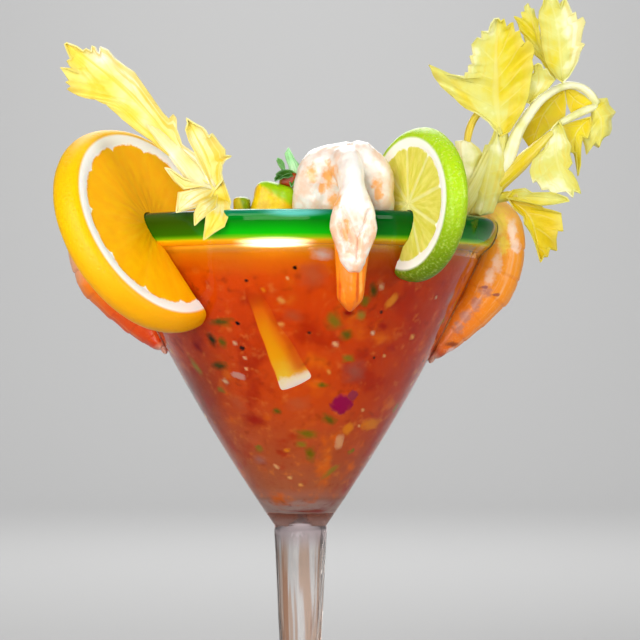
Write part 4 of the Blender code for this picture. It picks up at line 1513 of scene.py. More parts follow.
@dataclass
class FrontShrimp:
    """The shrimp split along its back: halves spread inside the rim, tail outside."""

    azimuth: float = -76.2
    voxel: float = 0.42
    marks: Sequence[tuple[float, float, float, float]] = (
        (4.2, 188.7, 3.6, 3), (10.4, 180.6, 2.4, 4.2), (23.2, 183.2, 2, 4.8),
        (9.4, 188, 2.6, 4.4), (6.8, 185, 1.6, 2.6), (14.2, 171, 1.4, 4),
    )
    creases: Sequence[tuple[float, float, float, float]] = (
        (12.8, 178, 15.4, 172.6), (15.4, 172.6, 18, 168.6), (21, 177, 19.7, 172.6),
        (19.7, 172.6, 18, 168.6), (18, 168.6, 17.4, 162), (11.8, 173, 14, 165),
        (13.6, 174, 15.6, 167),
    )

    def roll(self, name: str, stations: Sequence[Station]) -> Piece:
        """One half of the split body, a bent roll."""

        def rule(unit: Vector) -> Marked:
            """A round rod through the stations."""
            t, around = on_ball(unit)
            x, y, z, radius = along(stations, t)
            tangent = heading(stations, t)
            side = (Vector((0.0, 1.0, 0.2)) - tangent * tangent.dot((0.0, 1.0, 0.2))).normalized()
            offset = side * math.cos(around) + tangent.cross(side) * math.sin(around)
            return Vector((x, y, z)) + offset * radius * rounded(t, 0.1, 0.1), {}

        return BENCH.ball(name, 40, 60, rule)

    def flesh_paint(self) -> Material:
        """White cooked flesh with orange marks, faint pink, a painted highlight on the ridge and
        painted shade on the neck.
        """
        painter = Painter(
            "shrimp_flesh", Subsurface_Weight=0.2, Subsurface_Scale=0.003,
            Subsurface_Radius=(1.0, 0.6, 0.4), Roughness=0.3, Coat_Weight=0.4, Coat_Roughness=0.12,
        )
        place = painter.place()
        x, y, z = painter.split(place)
        cloud = painter.noise(place, 4.0 * MM, 3.0, 0.6)
        base = painter.mix(cloud.step(0.35, 0.7), (250, 238, 228), (246, 210, 184))
        ragged = (painter.noise(place, 2.4 * MM) - 0.45) * 2.6
        # painted highlight: near white along the ridge and in a small spot on the left lobe
        ridge = painter.spot(ragged * 0.3, (16.4, 186.0, 5.6, 13.0), (5.4, 183.0, 1.6, 2.2))
        base = painter.mix(ridge * 0.85, base, (250, 246, 242))
        marked = painter.spot(ragged, *self.marks)
        base = painter.mix(marked * 0.8, base, (255, 164, 10))
        # painted shade: darker and pinker down the neck below the lip
        neck = painter.axes()[2].step(177.0, 169.0) * cloud.step(0.35, 0.6)
        painter.feed("Base Color", painter.mix(neck * 0.6, base, (248, 180, 134)))
        grain = painter.noise(painter.join(x, y, z * 0.3), 1.2 * MM, 3.0)
        painter.raise_by(grain, 0.3, 0.4)
        return painter.material

    @staticmethod
    def crease(point: Vector, line: Sequence[float]) -> float:
        """How near a point is to a crease that is seen from the front, 1 on it."""
        start, end = Vector(line[:2]), Vector(line[2:])
        here = Vector((point.x, point.z)) - start
        t = min(max(here.dot(end - start) / (end - start).length_squared, 0.0), 1.0)
        return math.exp(-(((here - (end - start) * t).length / 0.5) ** 2))

    def build(self, room: Piece) -> None:
        """Models flesh and tail shell."""
        whole = ShrimpBody(
            name="flesh", azimuth=self.azimuth, stations=FRONT_STATIONS, shell_from=1.0,
            shell_to=1.0, rings=120, seed=8.0,
        )
        flesh = whole.model()
        rolls = [self.roll("left", LEFT_HALF), self.roll("right", RIGHT_HALF)]
        flesh = BENCH.joined("shrimp_front_flesh", [flesh] + rolls)
        for name in ("body", "around", "seam"):
            flesh.data.attributes.remove(flesh.data.attributes[name])
        flesh = BENCH.modify(flesh, "REMESH", mode="VOXEL", voxel_size=self.voxel * MM)
        flesh = BENCH.modify(flesh, "SMOOTH", factor=0.5, iterations=4)

        def fold(point: Vector) -> float:
            """Folds and creases of the flesh, deepest down the neck."""
            folds = max(self.crease(point, line) for line in self.creases)
            bumps = 0.45 * lump(point, 5.0, 6.0) + 0.18 * lump(point, 1.9, 7.0)
            return bumps - (folds if point.y < -58 else 0.0) - 0.1

        BENCH.puff(flesh, fold)
        flesh = BENCH.trim(flesh, room)
        BENCH.finish(flesh, "shrimp", ["shrimp_front"], [self.flesh_paint()], 50.0)
        self.tail(room)

    def tail(self, room: Piece) -> None:
        """The orange shell of the tail, below the flesh."""
        shell = ShrimpBody(
            name="shrimp_front_tail", azimuth=self.azimuth, stations=TAIL_STATIONS,
            shell_from=1.0, shell_to=1.0, ridge=0.34, facets=0.75, rings=90, seed=9.0,
        )
        body = BENCH.trim(shell.model(), room)
        stops = (
            (0.0, (250, 180, 110)), (0.2, (250, 136, 20)), (0.5, (250, 130, 6)),
            (0.8, (250, 124, 4)), (1.0, (230, 96, 6)),
        )
        patches = (
            ((220, 84, 0), (17.4, 155.4, 0.5, 7.5)),
            ((255, 190, 90), (18.4, 156.0, 0.6, 6.0)),
            ((226, 80, 0), (12.2, 154.0, 0.5, 5.0)),
        )
        paint = shrimp_paint("shrimp_tail", stops, (255, 160, 40), patches)
        BENCH.finish(body, "shrimp", [], [paint], 50.0)


# ---- the celery
@dataclass(frozen=True)
class Leaf:
    """One leaf, seen from the front: its midrib, and each edge's corners as x and z in turn.

    The edges stand cup further back than the midrib.
    """

    rib: Sequence[Station]
    left: Sequence[float]
    right: Sequence[float]
    tone: float
    cup: float
    veins: int
    paler_right: float = 0.0


@dataclass(frozen=True)
class LeafPaint:
    """The finish of a sprig's leaves and stalks."""

    name: str
    golden: tuple
    middle: tuple
    pale: tuple
    white: tuple
    vein: tuple
    streaked: float = 0.35

    def tones(self, painter: Painter, cloud: Value, spread: float) -> Value:
        """Golden to pale, by the tone kept on the points and a cloudy noise."""
        tone = painter.mark("tone") + (cloud - 0.5) * spread
        stops = ((0.0, self.golden), (0.4, self.middle), (0.8, self.pale), (1.0, self.white))
        return painter.ramp(tone * 0.8, stops)

    def leaf(self) -> Material:
        """Thin leaf with branching veins."""
        painter = Painter(
            f"{self.name}_leaf", Roughness=0.45, Subsurface_Weight=0.15, Subsurface_Scale=0.001,
            Subsurface_Radius=(1.0, 0.9, 0.3), Specular_IOR_Level=0.3,
        )
        across, up = painter.mark("across"), painter.mark("up")
        place = painter.place()
        cloud = painter.noise(place, 9.0 * MM, 3.0)
        base = self.tones(painter, cloud, 1.8)
        drawn = painter.join(across * 4.0, up * 1.1, painter.mark("tone"))
        streak = painter.noise(drawn, 1.0, 3.0).step(0.48, 0.62)
        base = painter.mix(streak * self.streaked, base, self.golden)
        base = painter.mix(abs(across).step(0.6, 1.05) * 0.3, base, self.pale)
        branch = abs((painter.mark("vein") * math.pi).sine()).step(0.22, 0.05)
        branch = branch * abs(across).step(1.0, 0.6)
        rib = abs(across).step(0.10, 0.03) * up.step(1.0, 0.7)
        veins = rib.either(branch * 0.55)
        painter.feed("Base Color", painter.mix(veins * 0.3, base, self.vein))
        wrinkle = painter.noise(place, 1.3 * MM) * 0.5
        painter.raise_by(wrinkle + veins * 0.5, 0.25, 0.5)
        return painter.material

    def stalk(self) -> Material:
        """Ribbed, pale, juicy stalk."""
        painter = Painter(
            f"{self.name}_stalk", Roughness=0.35, Subsurface_Weight=0.2, Subsurface_Scale=0.002,
            Subsurface_Radius=(1.0, 0.9, 0.4), Coat_Weight=0.1, Specular_IOR_Level=0.4,
        )
        across, up = painter.mark("across"), painter.mark("up")
        lines = painter.noise(painter.join(across * 10.0, up * 1.5), 1.0, 3.0, 0.6)
        cloud = painter.noise(painter.place(), 8.0 * MM)
        base = self.tones(painter, cloud, 0.9)
        painter.feed("Base Color", painter.mix(lines.step(0.45, 0.75) * 0.5, base, self.white))
        painter.raise_by(lines, 0.35, 0.5)
        return painter.material


@dataclass
class Sprig:
    """A sprig of stalks, stems and leaves, each leaf a row of a Leaf's fields."""

    name: str
    node: str
    slot: str
    rods: Sequence[Sequence[Station]]
    leaves: Sequence[Sequence]
    paint: LeafPaint
    across: tuple[float, float, float] = (0.88, 0.45, 0.0)
    thick: float = 0.45
    columns: int = 20
    rows: int = 90
    wave: float = 0.05
    ribs: int = 7

    def placed(self, obj: Piece, place: int) -> Piece:
        """Gives the faces their material place, 0 for leaf and 1 for stalk."""
        for kind in ("leaf", "stalk"):
            known = bpy.data.materials.get(kind)
            obj.data.materials.append(known or bpy.data.materials.new(kind))
        obj.data.polygons.foreach_set("material_index", [place] * len(obj.data.polygons))
        return obj

    def rod(self, stations: Sequence[Station]) -> Piece:
        """Moulds a stalk or stem.

        Args:
            stations: Rows of x, y, z and tone, then a radius, or a half width and a thickness.

        Returns:
            The rod, flat and ribbed if it has a thickness.
        """
        flat = len(stations[0]) > 5
        lead = Vector(self.across) if flat else Vector((0.3, -1.0, 0.2))

        def rule(unit: Vector) -> Marked:
            """A slightly rough rod through the stations."""
            t, around = on_ball(unit)
            now = along(stations, t)
            tangent = heading(stations, t)
            side = (lead - tangent * lead.dot(tangent)).normalized()
            normal = tangent.cross(side)
            half, depth = (now[4], now[5]) if flat else (now[4], now[4])
            close = rounded(t, 0.03, 0.03)
            rib = 1.0 + 0.045 * math.cos(around * self.ribs * 2) if flat else 1.0
            offset = side * half * math.cos(around) + normal * depth * math.sin(around)
            rough = 0.12 * lump(Vector(now[:3]) + offset, 3.0, 2.0) * close
            point = Vector(now[:3]) + offset * (rib * close) + offset.normalized() * rough
            return point, {"across": math.cos(around), "up": t, "tone": now[3], "vein": 0.5}

        rod = BENCH.ball(f"{self.name}_rod", 48 if flat else 20, 60, rule)
        return self.placed(rod, 1)

    def edge(self, leaf: Leaf, corners: Sequence[float]) -> list[Vector]:
        """Even points of one edge, from root to tip, with every corner kept.

        Args:
            leaf: The leaf.
            corners: The edge's corners, as x and z in turn.

        Returns:
            One point a row, across and up.
        """
        ends = [Vector((point[0], point[2])) for point in (leaf.rib[0], leaf.rib[-1])]
        line = [ends[0]] + [Vector(pair) for pair in zip(corners[::2], corners[1::2])] + [ends[1]]
        whole = sum((b - a).length for a, b in zip(line, line[1:]))
        points, gone = [line[0]], 0.0
        for start, end in zip(line, line[1:]):
            gone += (end - start).length
            count = max(round(self.rows * gone / whole) + 1 - len(points), 1)
            points += [start.lerp(end, (i + 1) / count) for i in range(count)]
        return points[: self.rows] + [line[-1]]

    def blade(self, leaf: Leaf) -> Piece:
        """Moulds one leaf from a sheet and gives it its thickness."""
        edges = (self.edge(leaf, leaf.left), self.edge(leaf, leaf.right))

        def rule(point: Vector) -> Marked:
            """A wavy blade from edge to edge, pleated between its veins."""
            column, s = point.x * 2, point.y + 0.5
            far = abs(column)
            x, y, z = along(leaf.rib, s)
            rib = Vector((x, z))
            edge = edges[column > 0][round(s * self.rows)]
            flat = rib.lerp(edge, far)
            vein = (s - 0.12 * far) * leaf.veins
            wave = self.wave * math.sin(8.0 * s + 2.5 * column + z) * far
            pleat = -0.05 * math.cos(math.tau * vein) * far * (1.2 - far)
            groove = 0.25 * math.exp(-((column / 0.10) ** 2)) * smooth(1.0, 0.6, s)
            puff = 0.3 * lump(Vector((flat.x, 0.0, flat.y)), 4.0, leaf.tone)
            ruffle = (edge - rib).length * (wave + pleat)
            back = leaf.cup * column * column + ruffle + groove + puff
            tone = leaf.tone + leaf.paler_right * column
            marks = {"across": column, "up": s, "tone": tone, "vein": vein}
            return Vector((flat.x, y + back, flat.y)), marks

        obj = BENCH.sheet(f"{self.name}_blade", self.columns, self.rows, rule)
        self.placed(obj, 0)
        BENCH.take(obj)
        bpy.ops.object.mode_set(mode="EDIT")
        bpy.ops.mesh.select_all(action="SELECT")
        bpy.ops.mesh.remove_doubles(threshold=0.02 * MM)
        bpy.ops.object.mode_set(mode="OBJECT")
        return BENCH.modify(
            obj, "SOLIDIFY", thickness=self.thick * MM, offset=0.0, use_even_offset=False
        )

    def build(self) -> None:
        """Models the whole sprig as one piece."""
        pieces = [self.rod(stations) for stations in self.rods]
        pieces += [self.blade(Leaf(*row)) for row in self.leaves]
        whole = BENCH.joined(self.name, pieces)
        materials = [self.paint.leaf(), self.paint.stalk()]
        BENCH.finish(whole, self.slot, [self.node], materials)


RIGHT_LEAVES = (
    (
        ((63.7, -18.6, 203.8), (62.5, -20, 214), (61.8, -22, 224.7), (62.5, -23, 240.4)),
        (62, 205.2, 59.8, 208.1, 56, 210.8, 51.6, 213, 47.8, 216.3, 44.5, 219.5, 42.1, 222.8, 40.6,
         225.9, 43.2, 223.6, 45.2, 222.4, 45.6, 223.2, 48.3, 222.7, 51.6, 221.7, 52.1, 223.5, 53.1,
         223.3, 53, 225.6, 54.2, 226, 53.4, 228.5, 54.5, 228.9, 54, 232.1, 55.8, 234.3, 57.2,
         233.7, 57.2, 236.4, 59.2, 235.9, 60.1, 238.6, 61.2, 240.2),
        (66.4, 205.2, 68.7, 208.7, 70.8, 212, 72.3, 216.3, 72.9, 220.6, 73.7, 225, 73.3, 227.6,
         74.1, 230.3, 73.4, 232.4, 71.8, 233.5, 71, 232.6, 70, 234.1, 69.2, 236.7, 67.8, 236.1,
         67.2, 239.1, 66.3, 238.8, 65.8, 237.4, 64.9, 238, 64.3, 240.2, 63.2, 239.3),
        0.62, -2, 7, -0.3,
    ),
    (
        ((73.1, -17, 214.4), (75.2, -18.5, 220.8), (75.3, -20, 226.7)),
        (70.9, 214.9, 71.5, 218.6, 73, 222.4, 74.3, 223.9, 73.9, 225.8),
        (75.8, 217.1, 78.6, 218.7, 81, 221.7, 79.4, 223.2, 78.3, 225.1, 77.1, 224.7, 76.5, 226.3),
        0.8, -1, 4,
    ),
    (
        ((84, -13, 221.4), (83.4, -11, 231.6), (82.5, -9, 241.9), (79.8, -8, 251)),
        (81.8, 222.9, 79.4, 226, 78.2, 228.8, 77.4, 233.9, 77.2, 238.4, 76.6, 242.3, 76.8, 244.9,
         78, 247, 78.5, 249.2),
        (85.8, 223.4, 87.3, 225.7, 88.7, 228.2, 89.7, 231.5, 91.2, 233.9, 89.8, 234.4, 90.6, 238.3,
         91.4, 241.1, 90.7, 242.8, 89.1, 241.8, 88.5, 244.5, 87.4, 244, 86.2, 247.5, 85.3, 249.3,
         84.6, 248.3, 83.9, 245.8, 82.8, 248.3, 82, 250.4),
        1, -2, 6, 0.3,
    ),
    (
        ((81.7, -13.4, 222.5), (77.6, -10.5, 231.7), (73.4, -8, 247.8)),
        (80.1, 224.7, 77.9, 227.5, 76.3, 230.3, 74.9, 231.2, 74.3, 233.3, 72.6, 234, 71.7, 237.7,
         70.4, 239.2, 70.1, 241.1, 68.8, 243.6, 70.4, 243, 71.7, 242.8, 71.1, 244.9, 72.5, 245.1,
         72.3, 246.7),
        (79.6, 225.9, 78.1, 228.7, 77.4, 233.8, 77, 238.3, 76.6, 242.4, 75.8, 243.3, 75.4, 246,
         74.3, 246.2),
        0.62, 0.5, 6,
    ),
    (
        ((84.7, -11, 219.5), (78.4, -8, 212.1), (74.6, -5, 201.2)),
        (80.4, 218.5, 76.7, 214.8, 74.1, 209.9, 71.7, 205.1),
        (85.6, 215.2, 85.3, 211.5, 82.9, 209, 79.6, 206.5, 77, 204.3),
        0.32, 0.5, 4,
    ),
    (
        ((85.3, -10, 219.9), (89.4, -8.5, 215.9), (94, -8, 214.2)),
        (85.9, 215.3, 87.5, 211.6, 90.6, 212.3),
        (88.3, 219.8, 91.7, 218, 93.9, 215.9),
        0.3, 0.5, 3,
    ),
    (
        ((82.6, -12.8, 209.1), (81.4, -16, 200.8), (82.8, -18.5, 192.4), (86.2, -20, 184.3)),
        (80.6, 207.1, 78.8, 203.7, 77.5, 199.8, 76, 198.4, 73.8, 196.4, 72.8, 192.6, 73.8, 189,
         74.6, 190, 75.9, 188.1, 76.5, 186.7, 78.5, 186.9, 79.7, 185.3, 81.6, 186, 84.1, 186.4),
        (84, 206.8, 85, 203.7, 86.3, 200.9, 85.7, 198.1, 86.5, 195.3, 85, 193.3, 86.3, 192.2, 87.8,
         189.1, 88.9, 185.5, 86.5, 186.6),
        1, -1.5, 6, -0.1,
    ),
    (
        ((93.4, -8, 211), (88.3, -9, 204.2), (89.2, -10, 192)),
        (88.4, 209.6, 83.6, 208.2, 85.5, 204.8, 86.8, 199.7, 88.6, 199.4, 88.9, 196.4),
        (93.9, 207.6, 92.5, 204, 90.8, 204.5, 90.3, 200.9, 90, 195.3),
        0.4, -0.8, 4,
    ),
    (
        ((94.4, -8.4, 214.3), (96.8, -9.5, 209.7), (96.4, -8, 201.6)),
        (93.9, 210.4, 93, 207.3, 90.9, 204.4, 92, 201.7, 92.5, 199.2, 93.2, 201.4, 94.6, 202.7),
        (95.7, 217.1, 99.1, 217.4, 99.7, 215.1, 101.8, 212.9, 100.4, 210.8, 100.6, 207.5, 99.9,
         205.6, 98.2, 204.9, 97.3, 203.5),
        0.85, 3, 5,
    ),
    (
        ((65.2, -20, 184.1), (73.1, -23, 184.4), (84.4, -26, 182.7)),
        (67.3, 186.6, 71, 187.1, 73.2, 185.5, 79, 185.5, 81.1, 184.9, 83.7, 183.8),
        (68.3, 183.3, 75.8, 181.4, 80, 181.8),
        0.75, -1, 3,
    ),
    (
        ((65.8, -19.6, 183.9), (72.8, -20, 177.6), (76.5, -16, 164)),
        (67.7, 180.6, 70.7, 178.1, 70.9, 175.8, 72.9, 173.2, 74.6, 169.5, 75.7, 166.3),
        (70.7, 184.1, 75.6, 181.9, 77.3, 180.6, 79.9, 180, 82.6, 179.2, 83.3, 173.6, 81.6, 173.8,
         81.1, 171, 81.5, 167.4, 79.4, 168.5, 78.6, 165.6, 77.7, 166.3),
        0.15, -1.5, 5,
    ),
    (
        ((52.3, -19.2, 178.7), (52.7, -20, 192.3), (51.9, -19.4, 202.4)),
        (51.1, 189.6, 50.1, 196.1, 49.3, 202.2),
        (54.9, 181.4, 57.1, 192.3, 57.9, 198.1, 56.8, 200, 54.3, 202),
        1.15, 1.5, 3,
    ),
    (
        ((57, -20.2, 178.6), (59.7, -21, 192.2), (62.5, -20.6, 205)),
        (54.1, 179.2, 55.9, 187.9, 57.1, 193.3, 57.8, 198.1, 58.8, 201, 59.9, 200.2, 61.9, 202.8),
        (61.2, 179.6, 64, 186.8, 65.8, 194.4, 64.8, 197.6),
        1, 1.8, 4,
    ),
)
RIGHT_RODS = (
    ((36.5, -12, 142, 0.7, 4.6, 2.4), (41.8, -13.6, 156, 0.7, 5.2, 2.6),
     (46.4, -15.2, 169, 0.7, 5.4, 2.6), (49.2, -15.9, 176, 0.7, 5.4, 2.6),
     (56.2, -17.2, 185, 0.9, 5.4, 2.7), (60.6, -18, 194, 0.9, 4.5, 2.4),
     (63.6, -18, 203, 0.8, 3, 1.8), (63.2, -17.4, 209, 0.8, 1, 0.5)),
    ((59, -16.8, 180, 0.9, 2), (63, -16.8, 188, 1, 2.3), (65.8, -18, 196, 1.1, 2.3),
     (69.6, -18.2, 206, 1.1, 1.9), (76.3, -16.5, 215.3, 1.2, 1.5), (83, -13.5, 219.9, 1.2, 1.25),
     (88.4, -10.5, 220.9, 1.2, 1.25), (93, -8.5, 219, 1.2, 1.3), (96, -7.2, 215, 1, 1.3)),
    ((49.6, -16.4, 178, 0.3, 1.8), (52.6, -17.6, 190, 0.2, 1.5), (53, -17.6, 201, 0.1, 1.2),
     (54.8, -17, 208.5, 0.1, 1.2), (59, -15.4, 214, 0.3, 1.2)),
    ((95.6, -7.4, 214.6, 1.1, 1.2), (90.6, -9.6, 212.6, 1.2, 1.3), (83.2, -12.4, 208.6, 1, 1.1)),
    ((57, -15, 182.4, 0.7, 1.6), (62.6, -17, 184.4, 0.6, 1.7), (69.6, -20.5, 185, 0, 1.5)),
    ((57, -15.6, 181, 0.6, 1.8), (63, -17.4, 188.4, 0.2, 2.4), (69.6, -17.8, 194.8, 0.1, 2.5),
     (75.2, -16.8, 200.4, 0.2, 1.8), (80.4, -14.6, 205.6, 0.5, 0.9)),
)
RIGHT_SPRIG = Sprig(
    name="celery_right_sprig", node="celery_right", slot="celery", rods=RIGHT_RODS,
    leaves=RIGHT_LEAVES,
    paint=LeafPaint(
        "celery_right", golden=(222, 192, 0), middle=(220, 204, 30), pale=(216, 216, 128),
        white=(246, 244, 200), vein=(228, 228, 160),
    ),
)
LEFT_LEAVES = (
    (
        ((-27.1, -49.8, 186.2), (-38.7, -51.5, 199.4), (-52.3, -53, 214.6), (-69.9, -53, 228.4)),
        (-33.2, 189.8, -40.4, 195.4, -44.5, 199, -50.1, 203, -53.3, 205.5, -55.7, 207.9, -58.1,
         209.9, -61, 211.3, -64.2, 211.9, -67.4, 213, -69.7, 214.4, -68.5, 215.2, -70.1, 216.5,
         -69.1, 216.9, -70.5, 219, -71.7, 220.9, -69.3, 220.2, -66.6, 219.2, -68.9, 221.4, -69.8,
         222.9, -68.6, 223.3, -69.7, 225.9, -70.5, 228),
        (-31.3, 195.3, -35.4, 198.1, -36.2, 200.7, -37, 202.7, -37, 205.9, -37.8, 207.1, -39.2,
         205.7, -41.2, 207.7, -43.6, 211.1, -46.8, 215.9, -49.6, 219.7, -52.8, 221.9, -55.6, 224.1,
         -57.6, 226.5, -59.8, 227.4, -60, 225.2, -60.6, 225.7, -61.2, 227.1, -62.3, 227.6, -62.4,
         225.8, -64, 226.7, -65, 226, -66.8, 227.3),
        0.72, -1.6, 7, 0.4,
    ),
    (
        ((-25.6, -48.4, 184.3), (-28.3, -51, 194.2), (-33.8, -52, 205.8)),
        (-27.5, 187.5, -29.5, 191.9, -31.2, 195.4, -33.1, 199, -34.1, 202.4, -33.5, 204.1),
        (-23, 187.5, -23.4, 189.5, -23.1, 191.9, -22.1, 193.5, -20.3, 194.5, -22.1, 194.7, -22.2,
         196.4, -23.8, 198.2, -25.2, 200.2, -26.1, 201.2, -26.9, 200, -28, 202, -29, 203, -31.6,
         204.3),
        0.7, -2, 5, 0.15,
    ),
    (
        ((-27.8, -52, 185.6), (-34.5, -55, 187.4), (-40, -57, 190.5)),
        (-32.6, 184.5, -34.5, 184.1, -37.2, 186.5),
        (-32.2, 186.7, -34.5, 187.5, -38.2, 190.1),
        0.8, -0.5, 3,
    ),
    (
        ((-25.5, -49, 185), (-30.5, -55, 182.6), (-36.6, -57, 177.2)),
        (-31, 184.4, -36.2, 183.3),
        (-26.9, 180.3, -31.2, 178.4),
        0.8, -0.8, 3,
    ),
    (
        ((-24, -47, 189.3), (-22.6, -50, 184.2), (-20.8, -55, 178.6)),
        (-26.8, 185.1, -27.1, 180.1, -25, 178.1),
        (-23.1, 187.5, -21.8, 184.2, -20.5, 180.7),
        0.7, -1, 3,
    ),
    (
        ((-24.7, -50, 182.9), (-26.3, -58, 178.4), (-29.3, -60.5, 176.6), (-30.9, -61, 173.1)),
        (-29.9, 180, -31.1, 176.6),
        (-24.4, 178.5, -26.6, 176.6, -29.3, 174.6),
        0.7, -0.6, 3,
    ),
    (
        ((-23.5, -50, 182.5), (-23.5, -58, 178.4), (-24.1, -61.5, 175.4), (-28.2, -61.5, 168.7)),
        (-27.6, 178.1, -27.6, 175.9, -27.9, 172.6),
        (-20.9, 179.8, -20, 176.9, -21, 175.5, -22, 172.6, -25.3, 170.6),
        0.5, -0.6, 4, 0.1,
    ),
)
LEFT_RODS = (
    ((-20, -36, 144, 0.8, 2.8, 2), (-23.2, -41.6, 158, 0.9, 3.2, 2.3),
     (-25.4, -45.4, 172, 0.9, 3.6, 2.4), (-27, -48, 182.5, 1, 4.2, 2.3),
     (-32.6, -50.2, 190.8, 1, 3.6, 2), (-40.6, -51, 199.4, 1, 2.4, 1.5),
     (-47, -51.4, 206, 0.9, 1.2, 0.8)),
)
LEFT_SPRIG = Sprig(
    name="celery_left_sprig", node="celery_left", slot="celery", rods=LEFT_RODS,
    leaves=LEFT_LEAVES, wave=0.035,
    paint=LeafPaint(
        "celery_left", golden=(234, 196, 10), middle=(234, 218, 90), pale=(238, 230, 166),
        white=(244, 240, 216), vein=(240, 210, 40), streaked=0.65,
    ),
)
CILANTRO_LEAVES = (
    (
        ((-4.5, -37, 191.4), (-5.5, -38.5, 193.2), (-6.6, -40, 195)),
        (-5.5, 191.5, -6.5, 193, -7, 194.2),
        (-4.4, 191.9, -4.6, 193.4, -5.3, 194.5),
        0.8, -0.3, 2,
    ),
    (
        ((-1, -36.5, 189.7), (-2.3, -37.5, 193.9), (-3.4, -38, 198.3)),
        (-2.4, 189.9, -3.1, 191.3, -3.4, 193, -4.2, 194.8, -4.5, 196.5),
        (0.1, 190.5, 0.2, 192.2, -0.4, 193.7, -1.4, 194.8, -2.3, 196.5),
        1, -0.4, 3,
    ),
    (
        ((-0.4, -37.4, 189.8), (-3.4, -39.5, 190.3), (-7.4, -41, 187.8)),
        (-2.3, 191.3, -3.6, 191.6, -4.9, 191.4, -6.2, 191, -7.2, 190, -7, 189.4, -7.6, 188.7),
        (-1, 188.7, -2.3, 189.5, -3.4, 188.8, -4.9, 188.9, -5.7, 188.3, -6.4, 188.3),
        0, -0.6, 3,
    ),
    (
        ((-3.2, -38, 190.4), (-2.3, -38.6, 188.4), (-2.4, -39.4, 186)),
        (-3.4, 188.6, -3, 187.3),
        (-0.8, 189.7, -0.6, 188.6, -1.2, 187.8, -1.9, 186.7),
        0.35, -0.3, 2,
    ),
)
CILANTRO_RODS = (
    ((3.4, -32, 160, 0.4, 0.9), (4.4, -33.4, 175, 0.4, 0.9), (3.2, -35.4, 188, 0.4, 0.8),
     (0, -37, 193, 0.4, 0.7)),
)
CILANTRO_SPRIG = Sprig(
    name="cilantro_sprig", node="cilantro", slot="herb", rods=CILANTRO_RODS,
    leaves=CILANTRO_LEAVES, columns=8, rows=30, thick=0.35,
    paint=LeafPaint(
        "cilantro", golden=(36, 92, 6), middle=(84, 160, 40), pale=(168, 230, 170),
        white=(200, 244, 200), vein=(190, 236, 180),
    ),
)


# ---- the toppings
@dataclass(frozen=True)
class ChunkPaint:
    """The finish of a cut cube: flesh that shades into another colour towards its skin."""

    name: str
    flesh: tuple
    deep: tuple
    skin: tuple
    skin_way: tuple[float, float, float]
    skin_from: float
    skin_to: float
    roughness: float = 0.35

    def material(self, centre: Vector) -> Material:
        """The material of a cube with its middle at centre."""
        painter = Painter(
            self.name, Roughness=self.roughness, Subsurface_Weight=0.15, Subsurface_Scale=0.002,
            Specular_IOR_Level=0.3,
        )
        place = painter.place()
        cloud = painter.noise(place, 3.0 * MM, 3.0, 0.6)
        base = painter.mix(cloud.step(0.35, 0.7), self.deep, self.flesh)
        way = Vector(self.skin_way).normalized()
        dot = {"operation": "DOT_PRODUCT"}
        reach = painter.make("ShaderNodeVectorMath", dot, {0: place, 1: way}, "Value")
        reach = reach / MM - way.dot(centre) + (cloud - 0.5) * 1.5
        skin = reach.step(self.skin_from, self.skin_to)
        painter.feed("Base Color", painter.mix(skin, base, self.skin))
        painter.raise_by(cloud, 0.4, 0.5)
        return painter.material


@dataclass
class Chunk:
    """A knife-cut cube with softened edges."""

    name: str
    node: str
    slot: str
    centre: tuple[float, float, float]
    size: tuple[float, float, float]
    turn: tuple[float, float, float]
    corner: float
    paint: ChunkPaint

    def build(self) -> None:
        """Models the cube."""
        obj = BENCH.add(self.name, bpy.ops.mesh.primitive_cube_add, size=1.0)
        obj.data.transform(Matrix.Diagonal(Vector(self.size) * MM).to_4x4())
        BENCH.modify(obj, "BEVEL", width=self.corner * MM, segments=5)
        BENCH.modify(obj, "SUBSURF", levels=2, render_levels=2, subdivision_type="SIMPLE")
        BENCH.modify(obj, "REMESH", mode="VOXEL", voxel_size=0.4 * MM)
        BENCH.modify(obj, "SMOOTH", factor=0.5, iterations=3)
        size = min(self.size)
        BENCH.puff(obj, lambda p: 0.05 * size * lump(p, 0.6 * size, 3.0) + 0.1 * lump(p, 1.2, 1.0))
        turns = [Matrix.Rotation(math.radians(a), 4, axis) for a, axis in zip(self.turn, "XYZ")]
        place = Matrix.Translation(Vector(self.centre) * MM)
        obj.data.transform(place @ turns[2] @ turns[1] @ turns[0])
        paint = self.paint.material(Vector(self.centre))
        BENCH.finish(obj, self.slot, [self.node], [paint])


CHUNKS = (
    Chunk(
        "avocado_cube", "avocado_chunk", "avocado", (-9.2, -35.0, 177.2), (12.8, 11.8, 21.0),
        (0, 14, 0), 3,
        ChunkPaint(
            "avocado_cube", (255, 222, 20), (236, 196, 10), (160, 206, 4),
            (0.6, 0, 0.9), 5.4, 7.4,
        ),
    ),
    Chunk(
        "avocado_bit", "avocado_piece", "avocado", (-18.0, -38.0, 175.8), (4.9, 5.5, 14.8),
        (4, 4, -12), 1.6,
        ChunkPaint(
            "avocado_bit", (255, 240, 60), (236, 216, 20), (150, 182, 10),
            (1, 0, 0.3), 1.2, 2.4,
        ),
    ),
    Chunk(
        "tomato_cube", "tomato_dice", "tomato", (-3.4, -36.0, 188.8), (5.1, 5.9, 4.9),
        (0, 14, 0), 1,
        ChunkPaint(
            "tomato_cube", (176, 74, 20), (150, 50, 6), (150, 110, 40),
            (-1, 0, 0.2), 1, 3, 0.4,
        ),
    ),
)


